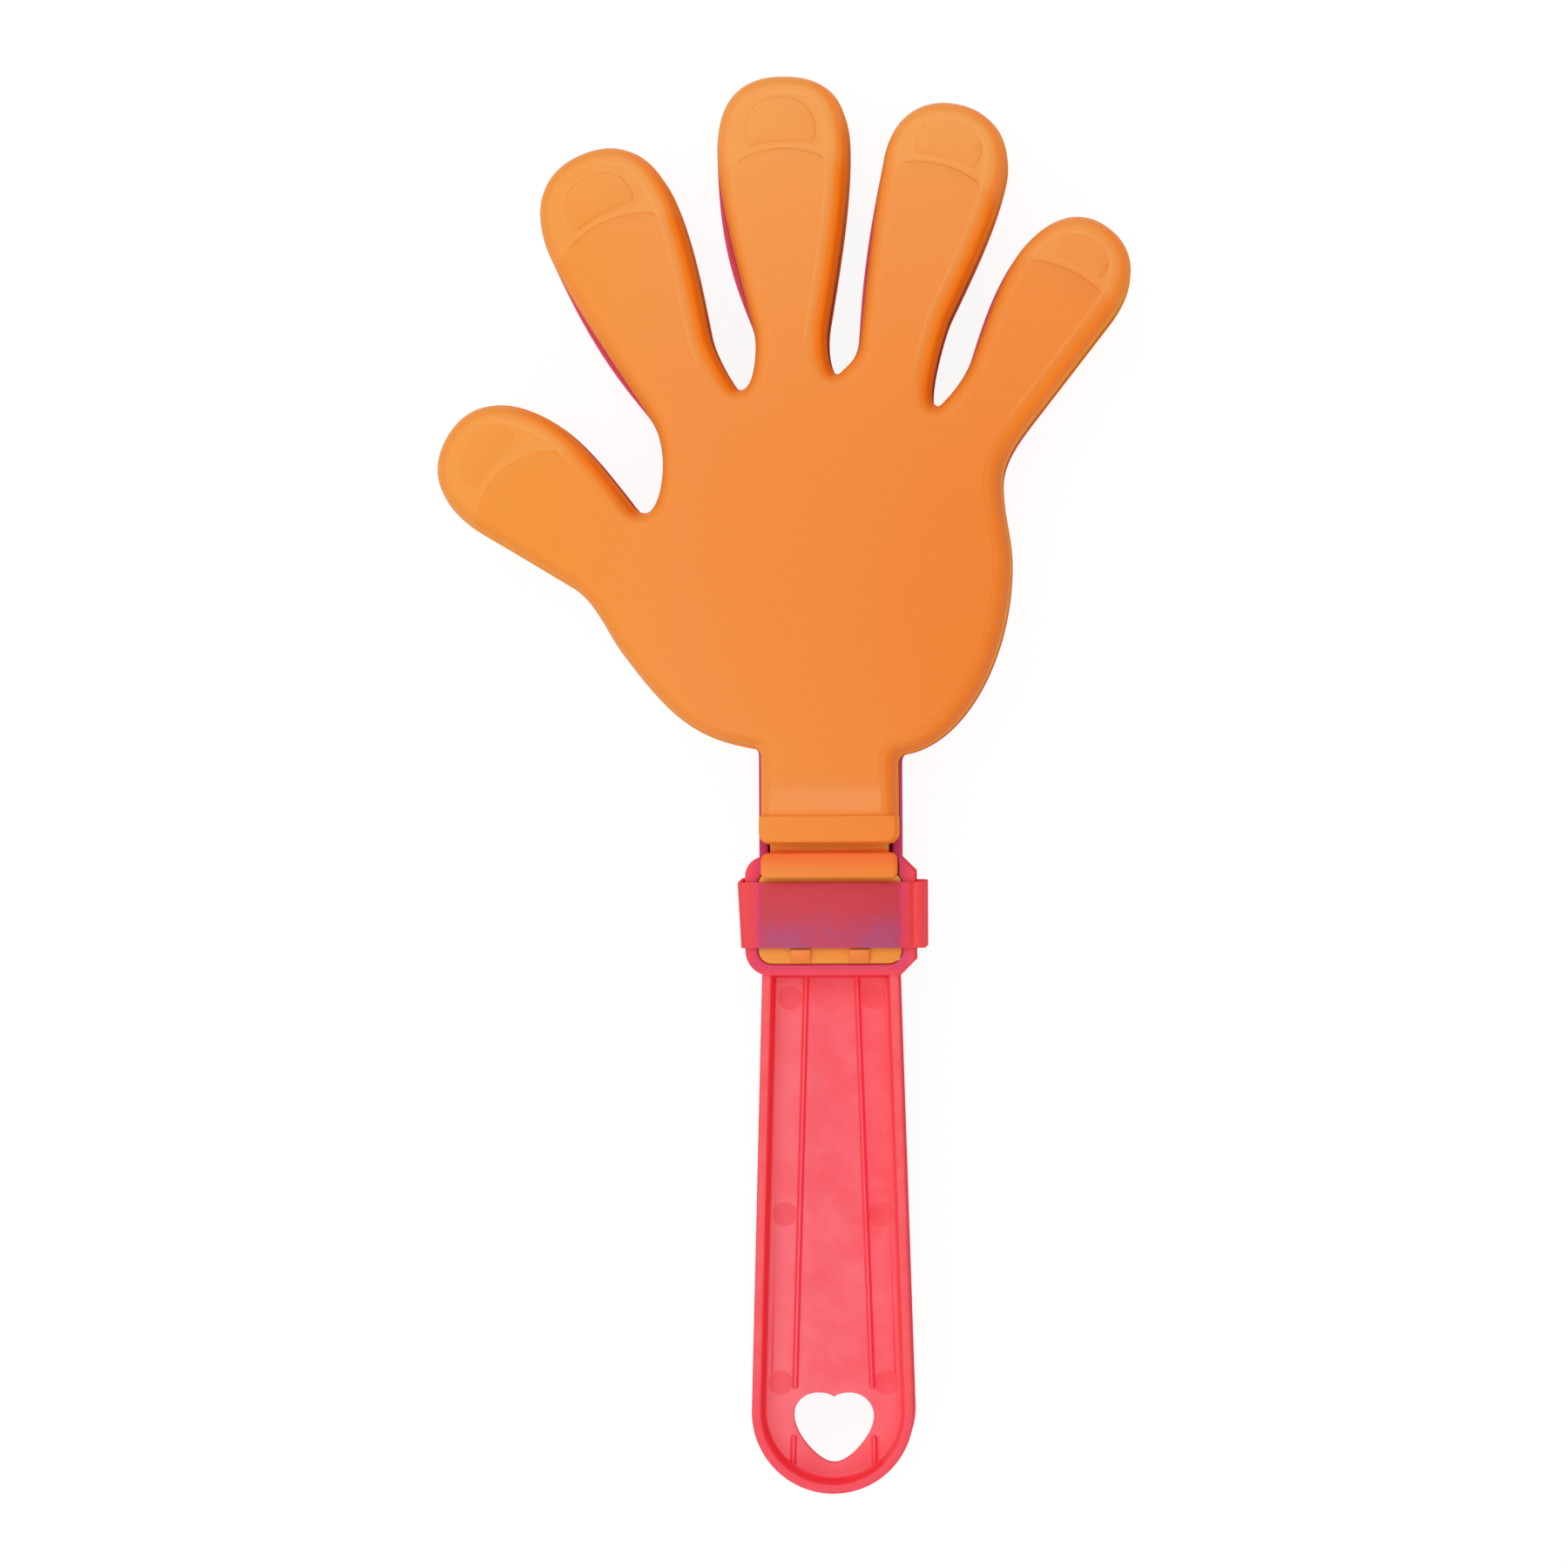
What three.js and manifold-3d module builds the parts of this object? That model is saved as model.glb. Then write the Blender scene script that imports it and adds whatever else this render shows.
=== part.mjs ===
// Hand clapper: three open-backed plastic hands stacked on one handle.
// The centre hand and the handle are one moulding. Each outer hand hangs on a thin living hinge,
// whose tab is held in a window of the handle by a sleeve that snaps round it.
// Millimetres. The hands lie flat: fingers towards +Y, front hand towards +Z.
// The hinge line is y = 0 and the handle's centre line is x = 0 until the last lines,
// which move the whole to stand on z = 0 with the middle of its box over the origin.
import * as THREE from 'three';
import { mergeVertices } from 'three/addons/utils/BufferGeometryUtils.js';
import Module from 'manifold-3d';

const wasm = await Module();
wasm.setup();

// Driving dimensions: the stack of hands
const CENTRE_HALF_DEPTH = 4.0;
const CENTRE_WEB = 1.6;
const CENTRE_RIM = 1.8;
const SHELL_DEPTH = 8.0;
const SHELL_WALL = 1.4;
const SHELL_DRAFT = 0.25;
const EDGE_RADIUS = 3.5;
const CLEARANCE = 0.3;

// Driving dimensions: how the centre hand's outline differs from that of the outer hands.
// Its fingers sit a little to the left, its bulbs are smaller and its shafts fuller on the left.
const CENTRE_FINGER_SHIFT = 0.25;
const CENTRE_TIP_CUT = 0.2;
const CENTRE_LEFT_PULL = 0.52;
const CENTRE_NECK_EXTRA = 0.45;

// Driving dimensions: neck, hinge blocks and living hinge
const NECK_HALF_WIDTH = 13.6;
const NECK_CORNER_RADIUS = 1.2;
const NECK_DROP = 2.4;
const NECK_RAMP_LENGTH = 10.5;
const HAND_BLOCK_LENGTH = 5.7;
const TAB_BLOCK_LENGTH = 5.0;
const BLOCK_HALF_WIDTH = 13.6;
const BLOCK_CORNER_RADIUS = 1.6;
const BLOCK_EDGE = 0.5;
const BLOCK_RISE = 4.1;
const HINGE_RISE = 2.0;
const HINGE_SLOT = 1.6;
const HINGE_WEB_THICKNESS = 0.4;
const HINGE_WEB_HALF_WIDTH = 11.7;

// Driving dimensions: window frame, tabs and sleeve
const FRAME_HALF_WIDTH = 16.8;
const FRAME_HALF_DEPTH = 6.0;
const FRAME_SIDE = 2.5;
const FRAME_TOP_BAR = 2.9;
const FRAME_BOTTOM_BAR = 2.25;
const FRAME_TOP_ROUND = 4.0;
const FRAME_BOTTOM_ROUND = 5.0;
const FRAME_CHAMFER = 3.0;
const WINDOW_CORNER_RADIUS = 2.8;
const TAB_OVERLAP = 1.4;
const LUG_LENGTH = 2.65;
const LUG_WIDTH = 4.0;
const LUG_SPACING = 11.6;
const SLEEVE_LENGTH = 13.5;
const SLEEVE_WALL = 0.9;
const SLEEVE_CORNER_RADIUS = 1.6;
const SLEEVE_BEAD_RADIUS = 1.4;

// Driving dimensions: handle
const HANDLE_TOP_HALF_WIDTH = 13.45;
const HANDLE_END_RADIUS = 16.0;
const HANDLE_LENGTH = 102.2;
const HANDLE_RIM = 1.9;
const HANDLE_RIM_DRAFT = 0.6;
const HANDLE_WEB = 1.8;
const RIB_WIDTH = 1.2;
const RIB_HEIGHT = 1.0;
const RIB_TOP_SPACING = 10.0;
const RIB_END_SPACING = 15.3;
const RIB_LENGTH = 82.0;
const LOWER_RIB_LENGTH = 6.0;
const HEART_WIDTH = 15.8;
const HEART_HEIGHT = 13.8;
const HEART_TOP_TO_END = 19.4;
const PIN_MARK_RADIUS = 2.4;
const PIN_MARK_DEPTH = 0.2;
const PIN_MARK_INSET = 5.2;
const PIN_MARK_ROWS = [4.4, 47.4, 80.8];

// Driving dimensions: where the short ribs start, measured back from the handle's end
const LOWER_RIB_START = 11.0;

// Driving dimensions: fingertips
const TIP_STEP = 0.4;
const NAIL_PROUD = 0.25;

// Each finger leans from the palm by so many degrees, clockwise. Its bulb is the widest place.
// Roots say how far behind the bulb a side meets the palm, and how far from the finger's line.
const FINGERS = {
  thumb: {
    bulb: [-61.3, 73.5], lean: -59.5, halfWidth: 13.15, tip: 16.4, fullness: 0.64,
    leftRoot: [20.4, 13.35], rightRoot: [19.9, 7.65],
    nail: { at: [0.4, 4.4], halfWidth: 6.8, height: 7.0, turn: 7.5 },
    knuckle: { at: [-5.2, -12.0], radius: 15.6 },
  },
  index: {
    bulb: [-42.7, 123.2], lean: -23.5, halfWidth: 13.5, tip: 15.0, fullness: 0.61,
    leftRoot: [37.3, 8.25], rightRoot: [27.3, 9.25],
    nail: { at: [-1.0, 1.2], halfWidth: 6.8, height: 8.6, turn: -3.0 },
    knuckle: { at: [-0.5, -19.7], radius: 20.1 },
  },
  middle: {
    bulb: [-8.6, 137.9], lean: 0.0, halfWidth: 13.0, tip: 14.4, fullness: 0.65,
    leftRoot: [35.0, 6.0], rightRoot: [34.4, 8.9],
    nail: { at: [0.0, 0.2], halfWidth: 6.9, height: 9.5, turn: -3.0 },
    knuckle: { at: [0.6, -18.3], radius: 17.8 },
  },
  ring: {
    bulb: [23.65, 134.1], lean: 12.5, halfWidth: 11.95, tip: 12.55, fullness: 0.6,
    leftRoot: [36.7, 9.45], rightRoot: [28.6, 7.15],
    nail: { at: [-0.2, 0.5], halfWidth: 6.4, height: 8.6, turn: 3.5 },
    knuckle: { at: [-1.6, -20.2], radius: 19.8 },
  },
  pinky: {
    bulb: [46.9, 110.4], lean: 38.0, halfWidth: 11.2, tip: 14.35, fullness: 0.62,
    leftRoot: [22.6, 5.6], rightRoot: [22.6, 11.2],
    nail: { at: [0.0, 3.9], halfWidth: 5.2, height: 7.0, turn: -8.0 },
    knuckle: { at: [3.5, -17.7], radius: 20.7 },
  },
};

// Where neighbouring fingers meet, and how their sides lean as they leave that corner
const CROTCHES = [
  { before: 'index', after: 'middle', at: [-17.2, 90.2], leftLean: -41, rightLean: 50 },
  { before: 'middle', after: 'ring', at: [1.8, 93.1], leftLean: -30, rightLean: 45 },
  { before: 'ring', after: 'pinky', at: [21.6, 86.6], leftLean: -30, rightLean: 45 },
];
const CROTCH_ROUND = 1.4;

// The palm, from the neck round the thumb's side and back
const THUMB_GAP_BOTTOM = [-36.4, 66.5];
const THUMB_GAP_SIDE = [-32.75, 76.2];
const THUMB_HEEL = [-41.1, 39.0];
const PALM_LOW_LEFT = [-14.9, 19.7];
const PALM_WAIST = [34.5, 71.6];
const PALM_SIDE = [36.3, 55.8];
const PALM_LOW_RIGHT = [14.9, 18.5];

// Heights worked out from the sizes above, measured from the middle of the stack
const shellBase = CENTRE_HALF_DEPTH + CLEARANCE;
const shellTop = shellBase + SHELL_DEPTH;
const hingeHeight = shellBase + HINGE_RISE;
const blockTop = hingeHeight + BLOCK_RISE;
const tabTop = FRAME_HALF_DEPTH;

// Places along the handle worked out from the hinge line
const slotHalf = HINGE_SLOT / 2;
const tabBlockEnd = -slotHalf - TAB_BLOCK_LENGTH;
const sleeveStart = tabBlockEnd - CLEARANCE;
const sleeveEnd = sleeveStart - SLEEVE_LENGTH;
const tabEnd = sleeveEnd - CLEARANCE - LUG_LENGTH;
const windowStart = tabBlockEnd + TAB_OVERLAP;
const windowEnd = tabEnd - CLEARANCE;
const windowHalfWidth = FRAME_HALF_WIDTH - FRAME_SIDE;
const frameStart = windowStart + FRAME_TOP_BAR;
const frameEnd = windowEnd - FRAME_BOTTOM_BAR;
const handleEnd = frameEnd - HANDLE_LENGTH;
const handBlockEnd = slotHalf + HAND_BLOCK_LENGTH;
const lowerRibTop = HANDLE_LENGTH - LOWER_RIB_START;

// Solids as manifolds
function toSolid(geometry) {
  const bare = geometry.clone();
  bare.deleteAttribute('normal');
  bare.deleteAttribute('uv');
  const merged = mergeVertices(bare, 1e-5);
  return new wasm.Manifold(new wasm.Mesh({
    numProp: 3,
    vertProperties: new Float32Array(merged.attributes.position.array),
    triVerts: new Uint32Array(merged.index.array),
  }));
}

function toGeometry(solid) {
  const mesh = solid.getMesh();
  const geometry = new THREE.BufferGeometry();
  geometry.setAttribute('position', new THREE.BufferAttribute(mesh.vertProperties, 3));
  geometry.setIndex(new THREE.BufferAttribute(mesh.triVerts, 1));
  geometry.computeVertexNormals();
  return geometry;
}

// Outlines are lists of Vector2, drawn clockwise as seen from the front
const point = ([x, y]) => new THREE.Vector2(x, y);

function curvePoints(start, first, second, end, steps) {
  const curve = new THREE.CubicBezierCurve(start, first, second, end);
  return curve.getPoints(steps).slice(0, -1);
}

function leaning(degrees, length) {
  const angle = THREE.MathUtils.degToRad(degrees);
  return new THREE.Vector2(length * Math.sin(angle), length * Math.cos(angle));
}

function inFinger(finger, across, along) {
  const angle = THREE.MathUtils.degToRad(finger.lean);
  const x = finger.bulb[0] + across * Math.cos(angle) + along * Math.sin(angle);
  const y = finger.bulb[1] - across * Math.sin(angle) + along * Math.cos(angle);
  return new THREE.Vector2(x, y);
}

// The four curves of a finger: left side, left half of the tip, right half, right side
function fingerCurves(finger) {
  const { halfWidth, tip, fullness, leftPull = 0.3 } = finger;
  const [leftBack, leftHalf] = finger.leftRoot;
  const [rightBack, rightHalf] = finger.rightRoot;
  const leftRoot = inFinger(finger, -leftHalf, -leftBack);
  const rightRoot = inFinger(finger, rightHalf, -rightBack);
  const leftHandle = inFinger(finger, -halfWidth, -leftPull * leftBack);
  const rightHandle = inFinger(finger, halfWidth, -0.3 * rightBack);
  const left = inFinger(finger, -halfWidth, 0);
  const right = inFinger(finger, halfWidth, 0);
  const top = inFinger(finger, 0, tip);
  const pull = fullness * tip;
  const spread = fullness * halfWidth;
  return [
    [leftRoot, leftRoot.clone().lerp(leftHandle, 0.5), leftHandle, left],
    [left, inFinger(finger, -halfWidth, pull), inFinger(finger, -spread, tip), top],
    [top, inFinger(finger, spread, tip), inFinger(finger, halfWidth, pull), right],
    [right, rightHandle, rightRoot.clone().lerp(rightHandle, 0.5), rightRoot],
  ];
}

function fingerPoints(finger) {
  const steps = [4, 6, 6, 4];
  return fingerCurves(finger).flatMap((curve, i) => curvePoints(...curve, steps[i]));
}

// A side's direction as it leaves the finger towards the palm, and as it comes up into the finger
function sideDown(finger) {
  const [, , pull, root] = fingerCurves(finger)[3];
  return { root, direction: root.clone().sub(pull).normalize() };
}

function sideUp(finger) {
  const [root, pull] = fingerCurves(finger)[0];
  return { root, direction: pull.clone().sub(root).normalize() };
}

function along(start, direction, length) {
  return start.clone().addScaledVector(direction, length);
}

// A corner between two fingers: down the left finger's side, a small round, up the right finger's
function crotchPoints(crotch, fingers) {
  const corner = point(crotch.at);
  const down = sideDown(fingers[crotch.before]);
  const up = sideUp(fingers[crotch.after]);
  const leftDirection = leaning(crotch.leftLean, 1);
  const rightDirection = leaning(crotch.rightLean, 1);
  const leftFoot = along(corner, leftDirection, CROTCH_ROUND);
  const rightFoot = along(corner, rightDirection, CROTCH_ROUND);
  const roundLeft = corner.clone().lerp(leftFoot, 0.3);
  const roundRight = corner.clone().lerp(rightFoot, 0.3);
  const leaveLeft = along(down.root, down.direction, 3.5);
  const leaveRight = along(up.root, up.direction, -3.5);
  return [
    ...curvePoints(down.root, leaveLeft, along(leftFoot, leftDirection, 2.2), leftFoot, 3),
    ...curvePoints(leftFoot, roundLeft, roundRight, rightFoot, 4),
    ...curvePoints(rightFoot, along(rightFoot, rightDirection, 2.2), leaveRight, up.root, 3),
  ];
}

// The rows where the neck's sides have a point, from the block up to the palm
function neckRows(start, palmCorner) {
  const ramp = [0, 1, 2, 3].map((third) => handBlockEnd + (third * NECK_RAMP_LENGTH) / 3);
  return [start, ...ramp].filter((y) => y < palmCorner - NECK_CORNER_RADIUS);
}

// The whole hand, from the foot of the neck's left side round to the foot of its right side
function handOutline(fingers, neckStart, neckHalfWidth) {
  const lowLeft = point(PALM_LOW_LEFT);
  const lowRight = point(PALM_LOW_RIGHT);
  const corner = NECK_CORNER_RADIUS;
  const leftCorner = new THREE.Vector2(-neckHalfWidth, lowLeft.y - 0.2);
  const rightCorner = new THREE.Vector2(neckHalfWidth, lowRight.y - 0.5);
  const cornerRow = Math.min(leftCorner.y, rightCorner.y);
  const rows = neckRows(neckStart, cornerRow);
  const leftRows = rows.map((y) => new THREE.Vector2(-neckHalfWidth, y));
  const rightRows = rows.map((y) => new THREE.Vector2(neckHalfWidth, y)).reverse();
  const heel = point(THUMB_HEEL);
  const heelLean = new THREE.Vector2(0.592, -0.806);
  const thumbLow = sideUp(fingers.thumb);
  const thumbHigh = sideDown(fingers.thumb);
  const gapBottom = point(THUMB_GAP_BOTTOM);
  const gapSide = point(THUMB_GAP_SIDE);
  const indexLow = sideUp(fingers.index);
  const pinkyLow = sideDown(fingers.pinky);
  const waist = point(PALM_WAIST);
  const side = point(PALM_SIDE);
  const x = new THREE.Vector2(1, 0);
  const y = new THREE.Vector2(0, 1);
  const leftFoot = along(leftCorner, y, -corner);
  const rightFoot = along(rightCorner, y, -corner);
  const intoPalm = along(lowLeft, x, corner * 0.5);
  const outOfPalm = along(lowRight, x, -corner * 0.5);
  const intoThumb = along(thumbLow.root, thumbLow.direction, -5);
  const outOfThumb = along(thumbHigh.root, thumbHigh.direction, 2.2);
  const intoIndex = along(indexLow.root, indexLow.direction, -3);
  const outOfPinky = along(pinkyLow.root, pinkyLow.direction, 6);
  const underPalm = along(along(lowRight, x, 12.4), y, 2.2);
  const points = [
    ...leftRows,
    ...curvePoints(leftFoot, along(leftFoot, y, corner * 0.6), intoPalm, lowLeft, 3),
    ...curvePoints(lowLeft, along(along(lowLeft, x, -11), y, 2.1), along(heel, heelLean, 17.5), heel, 6),
    ...curvePoints(heel, along(heel, heelLean, -4.5), intoThumb, thumbLow.root, 4),
    ...fingerPoints(fingers.thumb),
    ...curvePoints(thumbHigh.root, outOfThumb, along(gapBottom, x, -1.6), gapBottom, 4),
    ...curvePoints(gapBottom, along(gapBottom, x, 2.4), along(gapSide, y, -5), gapSide, 4),
    ...curvePoints(gapSide, along(gapSide, y, 3.5), intoIndex, indexLow.root, 3),
    ...fingerPoints(fingers.index),
  ];
  for (const crotch of CROTCHES) {
    points.push(...crotchPoints(crotch, fingers), ...fingerPoints(fingers[crotch.after]));
  }
  points.push(
    ...curvePoints(pinkyLow.root, outOfPinky, along(waist, y, 5), waist, 4),
    ...curvePoints(waist, along(waist, y, -6), along(side, y, 6), side, 3),
    ...curvePoints(side, along(side, y, -17.2), underPalm, lowRight, 8),
    ...curvePoints(lowRight, outOfPalm, along(rightFoot, y, corner * 0.6), rightFoot, 3),
    rightFoot,
    ...rightRows,
  );
  return { points, rowCount: leftRows.length };
}

// Every point moved inwards by a distance, square to the outline; outwards when it is negative
function inset(points, distance) {
  return points.map((here, i) => {
    const before = points[(i + points.length - 1) % points.length];
    const after = points[(i + 1) % points.length];
    const arriving = here.clone().sub(before).normalize();
    const leaving = after.clone().sub(here).normalize();
    const direction = arriving.clone().add(leaving).normalize();
    const shift = distance / Math.max(direction.dot(leaving), 0.7);
    return new THREE.Vector2(here.x + direction.y * shift, here.y - direction.x * shift);
  });
}

// A closed solid from rings with equal counts, with a cap on the first and last
function ringSolid(rings, capFaces) {
  const count = rings[0].length;
  const positions = rings.flat().flatMap((p) => [p.x, p.y, p.z]);
  const faces = [];
  for (let ring = 0; ring + 1 < rings.length; ring += 1) {
    for (let i = 0; i < count; i += 1) {
      const a = ring * count + i;
      const b = ring * count + ((i + 1) % count);
      faces.push([a, b + count, b], [a, a + count, b + count]);
    }
  }
  const last = (rings.length - 1) * count;
  for (const [a, b, c] of capFaces) {
    faces.push([a, b, c], [a + last, c + last, b + last]);
  }
  const geometry = new THREE.BufferGeometry();
  geometry.setAttribute('position', new THREE.Float32BufferAttribute(positions, 3));
  geometry.setIndex(faces.flat());
  return toSolid(geometry);
}

// Cap triangles of an outline, all turned the way the outline runs
function capFaces(outline, first = 0, end = outline.length) {
  const triangles = THREE.ShapeUtils.triangulateShape(outline.slice(first, end), []);
  const forward = triangles.some(([a, b, c]) => [b - a, c - b, a - c].includes(1));
  return triangles.map(([a, b, c]) => (forward ? [a, b, c] : [a, c, b]).map((i) => i + first));
}

// The neck is capped row by row, so that its ramp stays true, and the palm in one
function handCap(outline, rowCount) {
  const end = outline.length;
  const neck = [];
  for (let row = 0; row + 1 < rowCount; row += 1) {
    const [left, leftNext, right, rightNext] = [row, row + 1, end - 1 - row, end - 2 - row];
    neck.push([left, leftNext, rightNext], [left, rightNext, right]);
  }
  return [...neck, ...capFaces(outline, rowCount - 1, end - rowCount + 1)];
}

const lift = (points, height) => points.map((p) => new THREE.Vector3(p.x, p.y, height));

// The neck's top drops towards the hinge block
function rampScale(y) {
  const share = THREE.MathUtils.clamp((handBlockEnd + NECK_RAMP_LENGTH - y) / NECK_RAMP_LENGTH, 0, 1);
  return 1 - (share * NECK_DROP) / SHELL_DEPTH;
}

function ramped(ring, outline) {
  return ring.map((p, i) => {
    const height = shellBase + (p.z - shellBase) * rampScale(outline[i].y);
    return new THREE.Vector3(p.x, p.y, height);
  });
}

// A flat outline as a slab between two heights
function slab(outline, low, high) {
  const shape = new THREE.Shape(outline);
  const geometry = new THREE.ExtrudeGeometry(shape, { depth: high - low, bevelEnabled: false });
  return toSolid(geometry.translate(0, 0, low));
}

function box(left, right, back, front, low, high) {
  const geometry = new THREE.BoxGeometry(right - left, front - back, high - low);
  return toSolid(geometry.translate((left + right) / 2, (back + front) / 2, (low + high) / 2));
}

// A rectangle with round corners, the radius named for each: top left, top right, low right, low left
function roundRectangle(left, right, low, top, radii) {
  const corners = [
    [left + radii[0], top - radii[0], radii[0], 180],
    [right - radii[1], top - radii[1], radii[1], 90],
    [right - radii[2], low + radii[2], radii[2], 0],
    [left + radii[3], low + radii[3], radii[3], -90],
  ];
  const steps = 4;
  return corners.flatMap(([x, y, radius, start]) => Array.from({ length: steps + 1 }, (_, i) => {
    const angle = THREE.MathUtils.degToRad(start - (90 * i) / steps);
    return new THREE.Vector2(x + radius * Math.cos(angle), y + radius * Math.sin(angle));
  }));
}

// A slab whose top edge is eased by a small chamfer
function easedSlab(outline, low, high, edge) {
  const rings = [lift(outline, low), lift(outline, high - edge), lift(inset(outline, edge), high)];
  return ringSolid(rings, capFaces(outline));
}

// Fingertips: a lowered field beyond the knuckle line, with the nail standing in it
function nailOutline(finger) {
  const { at, halfWidth, height, turn } = finger.nail;
  const angle = THREE.MathUtils.degToRad(turn);
  const local = [
    [-0.86, 0], [-0.98, 0.1], [-1, 0.36], [-0.93, 0.62], [-0.72, 0.85], [-0.38, 0.97], [0, 1],
    [0.38, 0.97], [0.72, 0.85], [0.93, 0.62], [1, 0.36], [0.98, 0.1], [0.86, 0],
    [0.45, 0.07], [0, 0.1], [-0.45, 0.07],
  ];
  return local.map(([across, up]) => {
    const x = across * halfWidth;
    const y = up * height;
    const turnedX = x * Math.cos(angle) + y * Math.sin(angle);
    const turnedY = -x * Math.sin(angle) + y * Math.cos(angle);
    return inFinger(finger, at[0] + turnedX, at[1] + turnedY);
  });
}

function tipField(finger) {
  const { at, radius } = finger.knuckle;
  const reach = 1.5 * finger.halfWidth;
  const steps = 12;
  const spread = Math.asin(Math.min(reach / radius, 0.94));
  const arc = Array.from({ length: steps + 1 }, (_, i) => {
    const angle = -spread + (2 * spread * i) / steps;
    return inFinger(finger, at[0] + radius * Math.sin(angle), at[1] + radius * Math.cos(angle));
  });
  const low = at[1] + radius * Math.cos(spread);
  const top = finger.tip + 2 * EDGE_RADIUS;
  const corner = (side, height) => inFinger(finger, at[0] + side * 2 * reach, height);
  return [...arc, corner(1, low), corner(1, top), corner(-1, top), corner(-1, low)];
}

function outerHand() {
  const neckFoot = slotHalf + 0.7;
  const { points, rowCount } = handOutline(FINGERS, neckFoot, NECK_HALF_WIDTH);
  const faces = handCap(points, rowCount);
  const wallTop = shellTop - EDGE_RADIUS;
  const ring = (distance, height) => ramped(lift(inset(points, distance), height), points);
  const edgeRings = [30, 60, 90].map((degrees) => {
    const angle = THREE.MathUtils.degToRad(degrees);
    const distance = SHELL_DRAFT + EDGE_RADIUS * (1 - Math.cos(angle));
    return ring(distance, wallTop + EDGE_RADIUS * Math.sin(angle));
  });
  const rings = [
    ring(SHELL_WALL, shellTop - SHELL_WALL),
    ring(SHELL_WALL, shellBase),
    ring(0, shellBase),
    ring(SHELL_DRAFT, wallTop),
    ...edgeRings,
  ];
  let hand = ringSolid(rings, faces);
  for (const finger of Object.values(FINGERS)) {
    const field = slab(tipField(finger), shellTop - TIP_STEP, shellTop + 1);
    const nail = slab(nailOutline(finger), shellTop - TIP_STEP - 1, shellTop - TIP_STEP + NAIL_PROUD);
    hand = hand.subtract(field.subtract(nail));
  }
  const blockOutline = roundRectangle(-BLOCK_HALF_WIDTH, BLOCK_HALF_WIDTH, slotHalf, handBlockEnd,
    [BLOCK_EDGE, BLOCK_EDGE, BLOCK_CORNER_RADIUS, BLOCK_CORNER_RADIUS]);
  return hand.add(easedSlab(blockOutline, shellBase, blockTop, BLOCK_EDGE));
}

function livingHinge() {
  const halfLength = slotHalf - CLEARANCE;
  const low = hingeHeight - HINGE_WEB_THICKNESS / 2;
  const high = hingeHeight + HINGE_WEB_THICKNESS / 2;
  return box(-HINGE_WEB_HALF_WIDTH, HINGE_WEB_HALF_WIDTH, -halfLength, halfLength, low, high);
}

// The tab fills the window; its block stands over the frame's top bar and its lugs stop the sleeve
function hingeTab() {
  const halfWidth = windowHalfWidth - CLEARANCE;
  const cornerRadius = WINDOW_CORNER_RADIUS - CLEARANCE;
  const plateStart = windowStart - CLEARANCE;
  const plateRadii = Array(4).fill(cornerRadius);
  const plateOutline = roundRectangle(-halfWidth, halfWidth, tabEnd, plateStart, plateRadii);
  const plate = easedSlab(plateOutline, CLEARANCE / 2, tabTop, 0.3);
  const blockHalfWidth = Math.min(BLOCK_HALF_WIDTH - 0.2, halfWidth);
  const block = easedSlab(roundRectangle(-blockHalfWidth, blockHalfWidth, tabBlockEnd, -slotHalf,
    [BLOCK_CORNER_RADIUS, BLOCK_CORNER_RADIUS, BLOCK_EDGE, BLOCK_EDGE]), shellBase, blockTop, BLOCK_EDGE);
  const lugTop = tabTop + CLEARANCE + SLEEVE_WALL;
  const lugStart = sleeveEnd - CLEARANCE;
  const lugFoot = tabTop - 1;
  const profile = [
    [lugStart, lugFoot], [lugStart, lugTop], [lugStart - 1, lugTop], [tabEnd + 0.3, lugFoot],
  ];
  const lugShape = new THREE.Shape(profile.map(point));
  let tab = plate.add(block);
  for (const side of [-1, 1]) {
    const lug = new THREE.ExtrudeGeometry(lugShape, { depth: LUG_WIDTH, bevelEnabled: false });
    const turn = new THREE.Matrix4().makeBasis(
      new THREE.Vector3(0, 1, 0), new THREE.Vector3(0, 0, 1), new THREE.Vector3(1, 0, 0));
    lug.applyMatrix4(turn);
    lug.translate((side * LUG_SPACING) / 2 - LUG_WIDTH / 2, 0, 0);
    tab = tab.add(toSolid(lug));
  }
  return tab;
}

// A moulding with a rim on both faces of a thin web
function webbedPlate(outline, faces, halfDepth, rim, draft, web) {
  const rimInner = inset(outline, rim);
  const webEdge = inset(outline, rim + draft);
  return ringSolid([
    lift(webEdge, -web / 2), lift(rimInner, -halfDepth), lift(outline, -halfDepth),
    lift(outline, halfDepth), lift(rimInner, halfDepth), lift(webEdge, web / 2),
  ], faces);
}

function centreFinger(finger) {
  const bulb = inFinger(finger, -CENTRE_FINGER_SHIFT, 0).toArray();
  const halfWidth = finger.halfWidth - CENTRE_FINGER_SHIFT;
  const tip = finger.tip - CENTRE_TIP_CUT;
  return { ...finger, bulb, halfWidth, tip, leftPull: CENTRE_LEFT_PULL };
}

function centreHand() {
  const { thumb, ...others } = FINGERS;
  const fuller = Object.entries(others).map(([name, finger]) => [name, centreFinger(finger)]);
  const fingers = { thumb, ...Object.fromEntries(fuller) };
  const neckHalfWidth = NECK_HALF_WIDTH + CENTRE_NECK_EXTRA;
  const { points, rowCount } = handOutline(fingers, frameStart - FRAME_TOP_BAR / 2, neckHalfWidth);
  return webbedPlate(points, handCap(points, rowCount), CENTRE_HALF_DEPTH, CENTRE_RIM, 0.2, CENTRE_WEB);
}

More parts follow.
